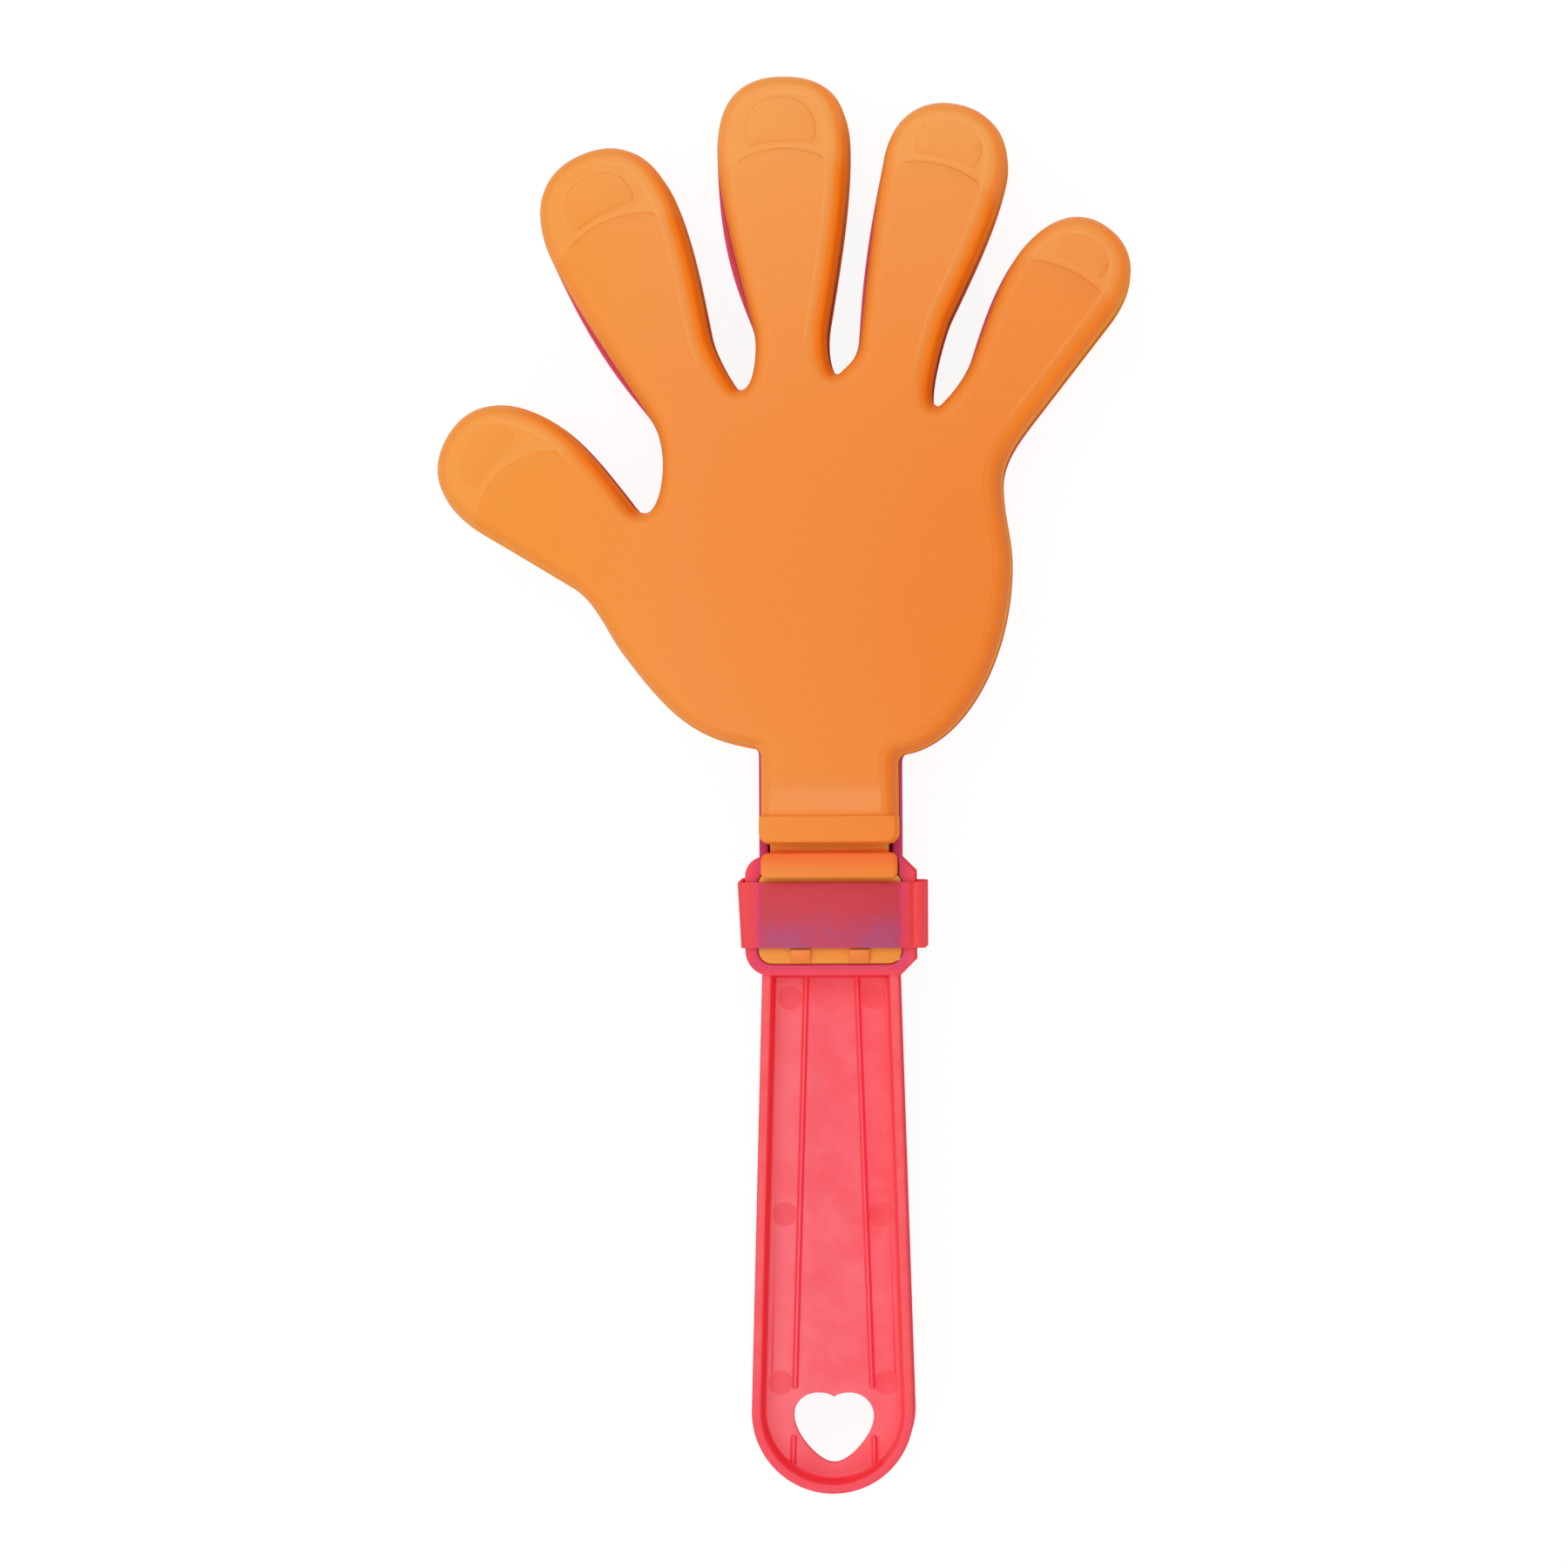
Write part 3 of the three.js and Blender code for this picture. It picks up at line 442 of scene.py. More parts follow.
def triangulate(points, edges, holes=()):
    """Triangles over the area inside the edges, less the holes. Sources tell which of the points each
    found point comes from."""
    found, _, triangles, sources, _, _ = delaunay_2d_cdt([Vector(p) for p in points], edges, [], 1, 1e-6)
    found = np.array([tuple(p) for p in found])
    centres = np.array([found[list(t)].mean(axis=0) for t in triangles])
    keep = np.full(len(triangles), True)
    for hole in holes:
        keep &= ~inside(centres, hole)
    return found, [t for t, kept in zip(triangles, keep) if kept], sources


def round_trip(count, first=0):
    """The edges of a closed loop of so many points, which are numbered from the first."""
    return [(first + i, first + (i + 1) % count) for i in range(count)]


class Surface:
    """Vertices in millimetres, and the faces over them. A ring is a list of vertex numbers."""

    def __init__(self):
        self.vertices = []
        self.faces = []

    def add(self, vertices):
        first = len(self.vertices)
        self.vertices += vertices
        return list(range(first, len(self.vertices)))

    def ring(self, outline, heights):
        """An outline's points at one height, or at one height each."""
        return self.add([(x, y, z) for (x, y), z in zip(outline, np.broadcast_to(heights, len(outline)))])

    def strip(self, rings):
        """Quads between rings with equal counts."""
        for one, other in zip(rings, rings[1:]):
            self.faces += [(one[i], one[j], other[j], other[i]) for i, j in round_trip(len(one))]

    def sweep(self, outline, profile):
        """A strip along an outline, with a ring for each pair of inset and height in the profile."""
        rings = [self.ring(inset(outline, distance), height) for distance, height in profile]
        self.strip(rings)
        return rings[0], rings[-1]

    def two_faced(self, outline, profile):
        """A sweep that is the same on the front and on the back."""
        back = [(distance, -height) for distance, height in reversed(profile)]
        return self.sweep(outline, [*profile, *back])

    def closed(self, sections):
        """A strip with its two ends filled."""
        self.strip(sections)
        self.faces += [tuple(sections[0]), tuple(sections[-1])]

    def tube_end(self, outer, inner):
        """Fills the flat end, square to y, between a tube's outer and inner rings."""
        numbers = outer + inner
        points = [self.vertices[i][::2] for i in numbers]
        edges = round_trip(len(outer)) + round_trip(len(inner), len(outer))
        _, triangles, sources = triangulate(points, edges, [np.array(points[len(outer):])])
        self.faces += [tuple(numbers[sources[i][0]] for i in triangle) for triangle in triangles]

    def cap(self, ring, height, holes=(), lines=(), links=(), grid=0.0):
        """Triangles over a ring, less its holes, at one height or at that of a height function. They follow
        the lines and links drawn inside the ring, and the points of a grid."""
        numbers = [i for loop in (ring, *holes) for i in loop]
        points = [self.vertices[i][:2] for i in numbers]
        edges, outlines = [], []
        for loop in (ring, *holes):
            edges += round_trip(len(loop), numbers.index(loop[0]))
            outlines.append(np.array([self.vertices[i][:2] for i in loop]))
        edges += [(numbers.index(a), numbers.index(b)) for a, b in links]
        outline, *hole_outlines = outlines

        def clear(candidates, margin):
            keep = inside(candidates, outline)
            for hole in hole_outlines:
                keep &= ~inside(candidates, hole)
            for line in outlines:
                keep &= distance_to(candidates, line) > margin
            return keep

        for line, is_closed in lines:
            keep = clear(line, LINE_MARGIN)
            places = len(points) + np.cumsum(keep) - 1
            joined = keep & np.roll(keep, -1)
            joined[-1] &= is_closed
            edges += np.stack([places, np.roll(places, -1)], axis=1)[joined].tolist()
            points += list(line[keep])
        if grid:
            low, high = outline.min(axis=0), outline.max(axis=0)
            xs, ys = np.arange(low[0], high[0], grid), np.arange(low[1], high[1], grid)
            dots = np.array([(x, y) for x in xs for y in ys])
            keep = clear(dots, grid / 3)
            for line, is_closed in lines:
                keep &= distance_to(dots, line, is_closed) > grid / 6
            points += list(dots[keep])
        found, triangles, sources = triangulate(points, edges, hole_outlines)
        heights = height(found) if callable(height) else [height] * len(found)
        target = []
        for spot, z, source in zip(found, heights, sources):
            known = [numbers[i] for i in source if i < len(numbers)]
            target += known[:1] or self.add([(*spot, z)])
        self.faces += [tuple(target[i] for i in triangle) for triangle in triangles]


def to_frame(vertices):
    return np.asarray(vertices, float) * MM + ORIGIN


def piece(name, surface, facing=1, marks=None):
    """A mesh object from a closed surface. Facing -1 turns it to the back of the stack.
    Marks are values for each vertex, by name, for the materials."""
    vertices = np.array(surface.vertices) * (1, 1, facing)
    mesh = bpy.data.meshes.new(name)
    mesh.from_pydata(to_frame(vertices).tolist(), [], surface.faces)
    for key, values in (marks or {}).items():
        attribute = mesh.attributes.new(key, "FLOAT", "POINT")
        attribute.data.foreach_set("value", values.astype(np.float32))
    bm = bmesh.new()
    bm.from_mesh(mesh)
    bmesh.ops.remove_doubles(bm, verts=bm.verts, dist=1e-7)
    bmesh.ops.recalc_face_normals(bm, faces=bm.faces)
    bm.to_mesh(mesh)
    bm.free()
    made = bpy.data.objects.new(name, mesh)
    bpy.context.scene.collection.objects.link(made)
    return made


def combine(first, operation, *others):
    """Joins or cuts closed pieces, and deletes the others."""
    for other in others:
        modifier = first.modifiers.new("combine", "BOOLEAN")
        modifier.operation = operation
        modifier.solver = "MANIFOLD"
        modifier.object = other
        bpy.context.view_layer.update()
        graph = bpy.context.evaluated_depsgraph_get()
        mesh = bpy.data.meshes.new_from_object(first.evaluated_get(graph))
        first.modifiers.clear()
        first.data = mesh
        bpy.data.objects.remove(other)
    return first


def finish_piece(made, material):
    """Smooth shading with crisp edges, and the material."""
    mesh = made.data
    mesh.materials.clear()
    mesh.materials.append(material)
    mesh.polygons.foreach_set("use_smooth", [True] * len(mesh.polygons))
    mesh.polygons.foreach_set("material_index", [0] * len(mesh.polygons))
    mesh.set_sharp_from_angle(angle=math.radians(SHARP_ANGLE))
    mesh.update()
    return made


def rounded_slab(outline, low, high, radius, low_radius=None, steps=4):
    """A closed slab whose top and bottom edges are round."""
    low_radius = radius if low_radius is None else low_radius
    surface = Surface()
    bottom, top = surface.sweep(outline, [*quarter(0, low, low_radius, low_radius, steps),
                                          *quarter(0, high, radius, -radius, steps)[::-1]])
    surface.cap(bottom, low)
    surface.cap(top, high)
    return surface


# The orange hands

def past_block(y):
    """0 on the hinge block, 1 on the neck past its small step."""
    return smooth((y - hand_block_end + BLOCK_STEP / 2) / BLOCK_STEP)


def neck_top(y):
    """The height of the middle of the neck and block: block, small step, ramp, palm."""
    ramp = smooth((y - hand_block_end) / NECK_RAMP_LENGTH)
    return block_top + (neck_low + NECK_DROP * ramp - block_top) * past_block(y)


def hand_top(y):
    return np.where(y < PALM_LOW_RIGHT.y - 1.5, neck_top(y), shell_top)


def edge_radius(y):
    spread = smooth((y - hand_block_end - 2) / NECK_RAMP_LENGTH)
    neck = NECK_EDGE_RADIUS + (EDGE_RADIUS - NECK_EDGE_RADIUS) * spread
    return BLOCK_EDGE_RADIUS + (neck - BLOCK_EDGE_RADIUS) * past_block(y)


def neck_rows():
    """The rows up the neck where both sides have a point."""
    step = [hand_block_end + BLOCK_STEP * k for k in (-0.7, -0.5, -0.3, -0.1, 0.1, 0.3, 0.5, 0.7)]
    low = np.arange(slot_half + BLOCK_CORNER_RADIUS + 0.3, step[0] - 0.3, NECK_ROW_STEP)
    high = np.arange(step[-1] + 0.3, neck_end - 0.2, NECK_ROW_STEP)
    return [*low, *step, *high]


def hand_outline():
    """The outer hand's outline, and the numbers of its points on each row of the neck."""
    rows = neck_rows()
    width = NECK_HALF_WIDTH
    corners = round_rectangle(-width, width, slot_half, slot_half + 8, [1, 1] + [BLOCK_CORNER_RADIUS] * 2)
    right_foot, left_foot = corners[18:27], corners[27:]
    left = [(-width, y) for y in rows]
    right = [(width, y) for y in reversed(rows)]
    points = as_array([*left_foot, *left, *hand_sides(FINGERS, width), *right, *right_foot])
    first = len(left_foot)
    last = len(points) - len(right_foot) - 1
    return points, [(first + i, last - i) for i in range(len(rows))]


def bulged(points):
    """Points with the hinge block's sides moved out, so that it stands a little wider than the neck."""
    x, y = points.T
    wider = np.where(x < 0, BLOCK_LEFT_BULGE, BLOCK_RIGHT_BULGE)
    wider = wider * (1 - smooth((y - hand_block_end + 0.9) / 1.4))
    near_side = smooth((abs(x) - NECK_HALF_WIDTH + 4) / 3) * (abs(x) < NECK_HALF_WIDTH + 1)
    return np.stack([x + np.sign(x) * wider * near_side, y], axis=1)


def finger_local(finger, points):
    """Points given across and along a finger."""
    up = leaning(finger["lean"])
    offset = points - np.array(finger["bulb"])
    return offset @ np.array([up.y, -up.x]), offset @ np.array([up.x, up.y])


def knuckle_side(finger, points):
    """How far each point lies beyond the knuckle line; far below it, or off the finger, -99."""
    across, along = finger_local(finger, points)
    x, y = finger["knuckle"]
    side = np.hypot(across - x, along - y) - finger["arc"]
    on_finger = (abs(across) < finger["half_width"] + 3) & (along > y) & (along < finger["tip"] + 4)
    return np.where(on_finger, side, -99.0)


def knuckle_line(finger, offset):
    x, y = finger["knuckle"]
    radius = finger["arc"] + offset
    reach = finger["half_width"] + 1
    low = -math.asin(min((reach + x) / radius, 0.97))
    high = math.asin(min((reach - x) / radius, 0.97))
    count = math.ceil((high - low) * radius / LINE_STEP)
    angles = [low + (high - low) * i / count for i in range(count + 1)]
    line = [in_finger(finger, x + radius * math.sin(a), y + radius * math.cos(a)) for a in angles]
    return as_array(line)


def nail_line(finger, offset=0.0):
    """The nail: a round top, two small lower corners and a lower edge that arches up."""
    (x, y), (half, height) = finger["nail"], finger["nail_size"]

    def at(across, up):
        return Vector((across * half, up * height))

    foot, side, top = at(0.84, 0.02), at(1.0, 0.36), at(0, 1.0)
    right = curve(foot, at(0.95, 0.02), at(1.0, 0.12), side, LINE_STEP)
    right += curve(side, at(1.0, 0.72), at(0.56, 1.0), top, LINE_STEP)
    low = curve(at(-0.84, 0.02), at(-0.5, 0.11), at(0.5, 0.11), foot, LINE_STEP)
    turn = Matrix.Rotation(math.radians(-finger["nail_turn"]), 2)
    line = [turn @ p for p in [*low, *right, top, *mirrored(right[1:])]]
    return inset(as_array([in_finger(finger, x + p.x, y + p.y) for p in line])[::-1], offset)


def tip_fields(points):
    """For each finger, the points past its knuckle line, how far they are past the step there, and how
    deep they lie inside the nail, which is below 0 outside it."""
    for finger in FINGERS.values():
        beyond = smooth(knuckle_side(finger, points) / TIP_STEP_WIDTH + 0.5)
        near = np.flatnonzero(beyond > 0)
        if len(near):
            line = nail_line(finger)
            depth = distance_to(points[near], line)
            yield finger, near, beyond[near], np.where(inside(points[near], line), depth, -depth)


def tip_height(points):
    """How far the fingertips' fields and nails change the height of the flat face."""
    change = np.zeros(len(points))
    for finger, near, beyond, depth in tip_fields(points):
        nail = NAIL_PROUD * smooth(depth / NAIL_EDGE_WIDTH + 0.5)
        change[near] += finger.get("relief", 1.0) * (nail - TIP_STEP * beyond)
    return change


def tip_shares(points):
    """How far each point is inside a fingertip's field, and less on its nail."""
    values = np.zeros(len(points))
    for _, near, beyond, depth in tip_fields(points):
        values[near] = np.maximum(values[near], beyond * np.where(depth > NAIL_EDGE_WIDTH * 0.4, 0.55, 1.0))
    return values


def at_knuckles(outline):
    """The outline with extra points where it passes the knuckle lines, so the step stays crisp."""
    sides = [knuckle_side(f, outline) for f in FINGERS.values()]
    points, numbers = [], {}
    for i, here in enumerate(outline):
        numbers[i] = len(points)
        points.append(here)
        after = outline[(i + 1) % len(outline)]
        for side in sides:
            low, high = side[i], side[(i + 1) % len(outline)]
            if low * high < 0 and min(abs(low), abs(high)) < 50:
                cross = low / (low - high)
                length = np.linalg.norm(after - here)
                spots = [cross + d / length for d in (-0.2, -0.1, 0.0, 0.1, 0.2)]
                points += [here + (after - here) * s for s in spots if 0.04 < s < 0.96]
    return np.array(points), numbers


def lit_side(outline):
    """1 where an outline faces right or up, where the edge catches a line of light, and 0 on the left."""
    outward = inset(outline, -1.0) - outline
    return smooth((0.9 * outward[:, 0] + 0.3 * outward[:, 1] + 0.1) / 0.5)


def outer_hand(name, facing):
    outline, pairs = hand_outline()
    outline, numbers = at_knuckles(outline)
    x, y = outline.T
    on_neck = (y < neck_end + 0.05) & (abs(x) < NECK_HALF_WIDTH + 1)
    top = np.where(on_neck, neck_top(y), shell_top)
    radius = np.where(on_neck, edge_radius(y), EDGE_RADIUS)
    lowered = tip_height(inset(outline, SHELL_DRAFT + radius))
    lit = lit_side(outline)
    surface = Surface()

    def ring(distance, height):
        return surface.ring(bulged(inset(outline, distance)), height)

    base = ring(SHELL_FOOT_ROUND, shell_base)
    foot = ring(0, shell_base + SHELL_FOOT_ROUND)
    edge = []
    for i in range(FILLET_STEPS + 1):
        sine, cosine = math.sin(math.pi / 2 * i / FILLET_STEPS), math.cos(math.pi / 2 * i / FILLET_STEPS)
        height = top - radius * (1 - sine) + lowered * sine ** 2
        edge.append(ring(SHELL_DRAFT + radius * (1 - cosine), height))
    lip_share = np.where(on_neck, smooth((y - hand_block_end - 1) / 3), 1.0)
    lip_width = LIP_WIDTH * (0.1 + 0.9 * lip_share)
    lip_rise = LIP_HEIGHT * lip_share * (0.1 + 0.9 * lit)
    lip = [ring(SHELL_DRAFT + radius + lip_width * share, top + lowered + lip_rise * rise)
           for share, rise in LIP_PROFILE]
    surface.strip([base, foot, *edge, *lip])

    flat = lip[-1]
    lines = []
    for finger in FINGERS.values():
        for share in (-0.5, -0.17, 0.17, 0.5):
            lines.append((knuckle_line(finger, share * TIP_STEP_WIDTH), False))
            lines.append((nail_line(finger, share * NAIL_EDGE_WIDTH), True))
    links = [(flat[numbers[a]], flat[numbers[b]]) for a, b in pairs]
    surface.cap(flat, lambda p: hand_top(p[:, 1]) + tip_height(p), lines=lines, links=links, grid=GRID_STEP)

    hollow = cavity_outline()
    narrow = abs(hollow[:, 0]) < NECK_HALF_WIDTH
    roof = np.where(narrow, np.minimum(neck_top(hollow[:, 1]), shell_top), shell_top) - SHELL_WALL
    mouth, inner = surface.sweep(hollow, [(0, shell_base), (0.6, roof - 0.8), (1.3, roof)])
    surface.cap(base, shell_base, holes=[mouth])
    surface.cap(inner, lambda p: hand_top(p[:, 1]) - SHELL_WALL, grid=GRID_STEP)

    # Painted highlight: a paler line on the lip along the edges that face right and up, out on the fingers.
    ridge_highlight = np.zeros(len(surface.vertices))
    on_fingers = smooth((np.hypot(x - PALM_CENTRE.x, y - PALM_CENTRE.y) - PALM_REACH) / 12)
    for vertices, share in zip((edge[-1], *lip), (0.5, 1.0, 1.0, 0.4)):
        ridge_highlight[vertices] = share * lit * on_fingers
    marks = {"tip_zone": tip_shares(np.array(surface.vertices)[:, :2]), "ridge_highlight": ridge_highlight}
    return piece(name, surface, facing, marks)


def cavity_outline():
    """The hollow behind the hand, which ends at the hinge block."""
    half = NECK_HALF_WIDTH - SHELL_WALL
    sides = inset(as_array(hand_sides(FINGERS, NECK_HALF_WIDTH)), SHELL_WALL)[2:-3]
    start = hand_block_end + 0.4
    corner = [(0.0, 1.4), (0.41, 0.41), (1.4, 0.0)]
    rows = np.arange(start + 1.4, neck_feet(half)[1].y - 0.4, 1.4)[1:]
    low_left = [(-half + a, start + b) for a, b in reversed(corner)]
    low_right = [(half - a, start + b) for a, b in corner]
    left = [(-half, y) for y in rows]
    right = [(half, y) for y in reversed(rows)]
    return as_array([*low_left, *left, *sides, *right, *low_right])


def living_hinge(name, facing):
    """The thin web between the blocks, thicker where it runs into them."""
    surface = Surface()
    reach = slot_half + 0.3
    sections = []
    for y in np.linspace(-reach, reach, 15):
        root = smooth((abs(y) - 0.35 * slot_half) / (0.7 * slot_half))
        half = (HINGE_WEB_THICKNESS + (HINGE_WEB_ROOT - HINGE_WEB_THICKNESS) * root) / 2
        upper = [(-1, 0.55), (-0.98, 1), (0.98, 1), (1, 0.55)]
        section = upper + [(across, -share) for across, share in reversed(upper)]
        sections.append(surface.add([(across * HINGE_WEB_HALF_WIDTH, y, hinge_height + half * share)
                                     for across, share in section]))
    surface.closed(sections)
    return piece(name, surface, facing)


def lug(side):
    """A wedge on the tab that stops the sleeve: steep towards the sleeve, sloping away."""
    surface = Surface()
    low = FRAME_HALF_DEPTH - 1
    high = FRAME_HALF_DEPTH + CLEARANCE + SLEEVE_WALL
    start = sleeve_end - CLEARANCE
    end = window_end + TAB_SEAM
    profile = [(start, low), (start, high - 0.3), (start - 0.1, high - 0.1), (start - 0.35, high),
               (start - 1.3, high - 0.05), (start - 1.6, high - 0.2), (end + 0.25, FRAME_HALF_DEPTH + 0.4),
               (end + 0.05, FRAME_HALF_DEPTH + 0.2), (end, low)]
    sections = []
    ends = ((0, 0.3), (0.1, 0.1), (0.3, 0))
    for edge, inwards, lowered in [(-1, *end) for end in ends] + [(1, *end) for end in reversed(ends)]:
        x = side * LUG_SPACING / 2 + edge * (LUG_WIDTH / 2 - inwards)
        sections.append(surface.add([(x, y, z - (lowered if z > low + 0.5 else 0)) for y, z in profile]))
    surface.closed(sections)
    return surface


def hinge_tab(name, facing):
    """The plate that fills the window, its block over the frame's top bar and its two lugs."""
    half = window_half_width - TAB_SEAM
    plate = round_rectangle(-half, half, window_end + TAB_SEAM, window_start - TAB_SEAM,
                            WINDOW_CORNER_RADIUS - TAB_SEAM)
    made = piece(name, rounded_slab(plate, CLEARANCE / 2, FRAME_HALF_DEPTH, TAB_EDGE_RADIUS), facing)
    width = BLOCK_HALF_WIDTH - 0.2
    block = round_rectangle(-width, width, tab_block_end, -slot_half, [1.5, 1.5, 1.2, 1.2])
    surfaces = [rounded_slab(block, shell_base, block_top, 0.55, low_radius=0.05), lug(-1), lug(1)]
    return combine(made, "UNION", *(piece("joined", surface, facing) for surface in surfaces))


# The pink moulding

def webbed_plate(outline, half_depth, rim, draft, web, edge, fillet, holes=(), marks=()):
    """A plate with a rim standing on both faces of a thin web, with holes and pin marks in the web."""
    surface = Surface()
    border = [(rim + draft + fillet + 0.3, web / 2)]
    rim_profile = [*quarter(rim + draft, web / 2, fillet, fillet), (rim + 0.04, half_depth - edge),
                   *quarter(rim, half_depth, -edge, -edge)[-2::-1], *quarter(0, half_depth, edge, -edge)]
    hole_profile = [(-0.25, web / 2), (-0.07, web / 2 - 0.07), (0.0, web / 2 - 0.25)]
    inner_rings = surface.two_faced(outline, border + rim_profile)
    hole_rings = [surface.two_faced(hole, hole_profile) for hole in holes]

    def web_height(points):
        depth = np.zeros(len(points))
        for x, y in marks:
            away = np.hypot(points[:, 0] - x, points[:, 1] - y)
            depth += PIN_MARK_DEPTH * smooth((PIN_MARK_RADIUS - away) / 0.3 + 0.5)
        return web / 2 - depth

    turns = [2 * math.pi * i / 32 for i in range(32)]
    radii = [PIN_MARK_RADIUS + offset for offset in (-0.15, 0, 0.15)]
    lines = [(np.array([(x + radius * math.cos(a), y + radius * math.sin(a)) for a in turns]), True)
             for x, y in marks for radius in radii]
    for face, sign in enumerate((1, -1)):
        surface.cap(inner_rings[face], lambda p: sign * web_height(p),
                    holes=[rings[face] for rings in hole_rings], lines=lines, grid=GRID_STEP)
    return surface


def centre_finger(name, finger):
    """The centre hand's fingers sit a little to the left and their shafts are fuller there."""
    if name == "thumb":
        return finger
    shifted = dict(finger)
    shifted["bulb"] = tuple(in_finger(finger, -CENTRE_FINGER_SHIFT, 0))
    shifted["half_width"] = finger["half_width"] - CENTRE_FINGER_SHIFT
    shifted["left_width"] = finger.get("left_width", finger["half_width"]) - CENTRE_FINGER_SHIFT
    shifted["tip"] = finger["tip"] - CENTRE_TIP_CUT
    shifted["left_pull"] = finger.get("centre_pull", CENTRE_LEFT_PULL)
    return shifted


def centre_hand():
    fingers = {name: centre_finger(name, finger) for name, finger in FINGERS.items()}
    half = NECK_HALF_WIDTH + CENTRE_NECK_EXTRA
    start = frame_start - FRAME_TOP_BAR / 2
    outline = as_array([(-half, start), *hand_sides(fingers, half), (half, start)])
    surface = webbed_plate(outline, CENTRE_HALF_DEPTH, CENTRE_RIM, CENTRE_RIM_DRAFT, CENTRE_WEB,
                           CENTRE_EDGE_RADIUS, CENTRE_WEB_FILLET)
    return piece("centre_hand", surface)


def frame_outline():
    """Corners are round on the left and cut straight on the right."""
    width, cut = FRAME_HALF_WIDTH, FRAME_CHAMFER
    rounds = round_rectangle(-width, 0, frame_end, frame_start, [FRAME_TOP_ROUND, 0, 0, FRAME_BOTTOM_ROUND])
    steps = len(rounds) // 4
    straight = [(width - cut, frame_start), (width, frame_start - cut), (width, frame_end + cut),
                (width - cut, frame_end)]
    return np.array([*rounds[:steps], *straight, *rounds[-steps:]])


def window_frame():
    window = round_rectangle(-window_half_width, window_half_width, window_end, window_start,
                             WINDOW_CORNER_RADIUS)
    profile = quarter(0, FRAME_HALF_DEPTH, FRAME_EDGE_RADIUS, -FRAME_EDGE_RADIUS)
    surface = Surface()
    outer = surface.two_faced(frame_outline(), profile)
    inner = surface.two_faced(window, [(-distance, height) for distance, height in profile])
    surface.cap(outer[0], FRAME_HALF_DEPTH, holes=[inner[0]])
    surface.cap(outer[1], -FRAME_HALF_DEPTH, holes=[inner[1]])
    seat_half = BLOCK_HALF_WIDTH + 0.1
    seat = round_rectangle(-seat_half, seat_half, window_start - WINDOW_CORNER_RADIUS, frame_start + 1, 0.3,
                           steps=2)
    cutter = rounded_slab(seat, CENTRE_HALF_DEPTH, FRAME_HALF_DEPTH + 1, 0.1, steps=1)
    return combine(piece("window_frame", surface), "DIFFERENCE", *(piece("seat", cutter, f) for f in (1, -1)))


def handle_outline(start):
    centre = handle_end + HANDLE_END_RADIUS
    angles = [-math.pi * i / 60 for i in range(61)]
    arc = [(HANDLE_END_RADIUS * math.cos(a), centre + HANDLE_END_RADIUS * math.sin(a)) for a in angles]
    middle_half = (HANDLE_TOP_HALF_WIDTH + HANDLE_END_RADIUS) / 2
    right = [(HANDLE_TOP_HALF_WIDTH, start), (middle_half, (start + centre) / 2)]
    return as_array([*right, *arc, *((-x, y) for x, y in reversed(right))])


def heart():
    top = handle_end + HEART_TOP_TO_END
    half = HEART_WIDTH / 2

    def at(across, down):
        return Vector((across * half, top - down * HEART_HEIGHT))

    right = [
        *curve(at(0, 0.06), at(0.13, 0.01), at(0.25, 0), at(0.4, 0), LINE_STEP),
        *curve(at(0.4, 0), at(0.71, 0), at(1, 0.13), at(1, 0.33), LINE_STEP),
        *curve(at(1, 0.33), at(1, 0.6), at(0.45, 0.93), at(0.16, 0.985), LINE_STEP),
        *curve(at(0.16, 0.985), at(0.09, 1), at(0.04, 1), at(0, 1), LINE_STEP),
    ]
    return as_array([*right, at(0, 1), *mirrored(right[1:])])


def rib(side, start, end, facing):
    """A rib with a round top, spreading with the tray."""
    surface = Surface()
    low = HANDLE_WEB / 2 - 0.4
    foot = HANDLE_WEB / 2 - 0.01
    rise = HANDLE_WEB / 2 + RIB_HEIGHT - foot
    half = RIB_WIDTH / 2
    right_half = [(half * t, foot + rise * (0.5 + 0.5 * math.cos(math.pi * t)))
                  for t in (0.17, 0.34, 0.5, 0.67, 0.83, 1)]
    right_half.append((half, low))
    section = [(-x, z) for x, z in reversed(right_half)] + right_half
    ends = ((0, 0.4), (0.15, 0.8), (0.5, 1))
    stations = [(start + d, share) for d, share in ends] + [(end - d, share) for d, share in reversed(ends)]
    rings = []
    for place, share in stations:
        middle = side * (RIB_TOP_SPACING + (RIB_END_SPACING - RIB_TOP_SPACING) * place / RIB_LENGTH) / 2
        spots = [(middle + x, frame_end - place, low + (z - low) * share) for x, z in section]
        rings.append(surface.add(spots))
    surface.closed(rings)
    return piece("rib", surface, facing)


def pin_marks():
    slope = (HANDLE_END_RADIUS - HANDLE_TOP_HALF_WIDTH) / (HANDLE_LENGTH - HANDLE_END_RADIUS)
    return [(side * (HANDLE_TOP_HALF_WIDTH + slope * row - PIN_MARK_INSET), frame_end - row)
            for side in (-1, 1) for row in PIN_MARK_ROWS]


def handle_tray():
    outline = handle_outline(frame_end + HANDLE_RIM + 0.1)
    surface = webbed_plate(outline, FRAME_HALF_DEPTH, HANDLE_RIM, HANDLE_RIM_DRAFT, HANDLE_WEB,
                           HANDLE_EDGE_RADIUS, HANDLE_WEB_FILLET, holes=[heart()], marks=pin_marks())
    spans = ((-0.5, RIB_LENGTH), (lower_rib_top, lower_rib_top + LOWER_RIB_LENGTH))
    ribs = [rib(side, start, end, facing) for side in (-1, 1) for facing in (1, -1) for start, end in spans]
    return combine(piece("handle_tray", surface), "UNION", *ribs)


def handle():
    made = combine(centre_hand(), "UNION", window_frame(), handle_tray())
    made.name = "handle_moulding"
    return made


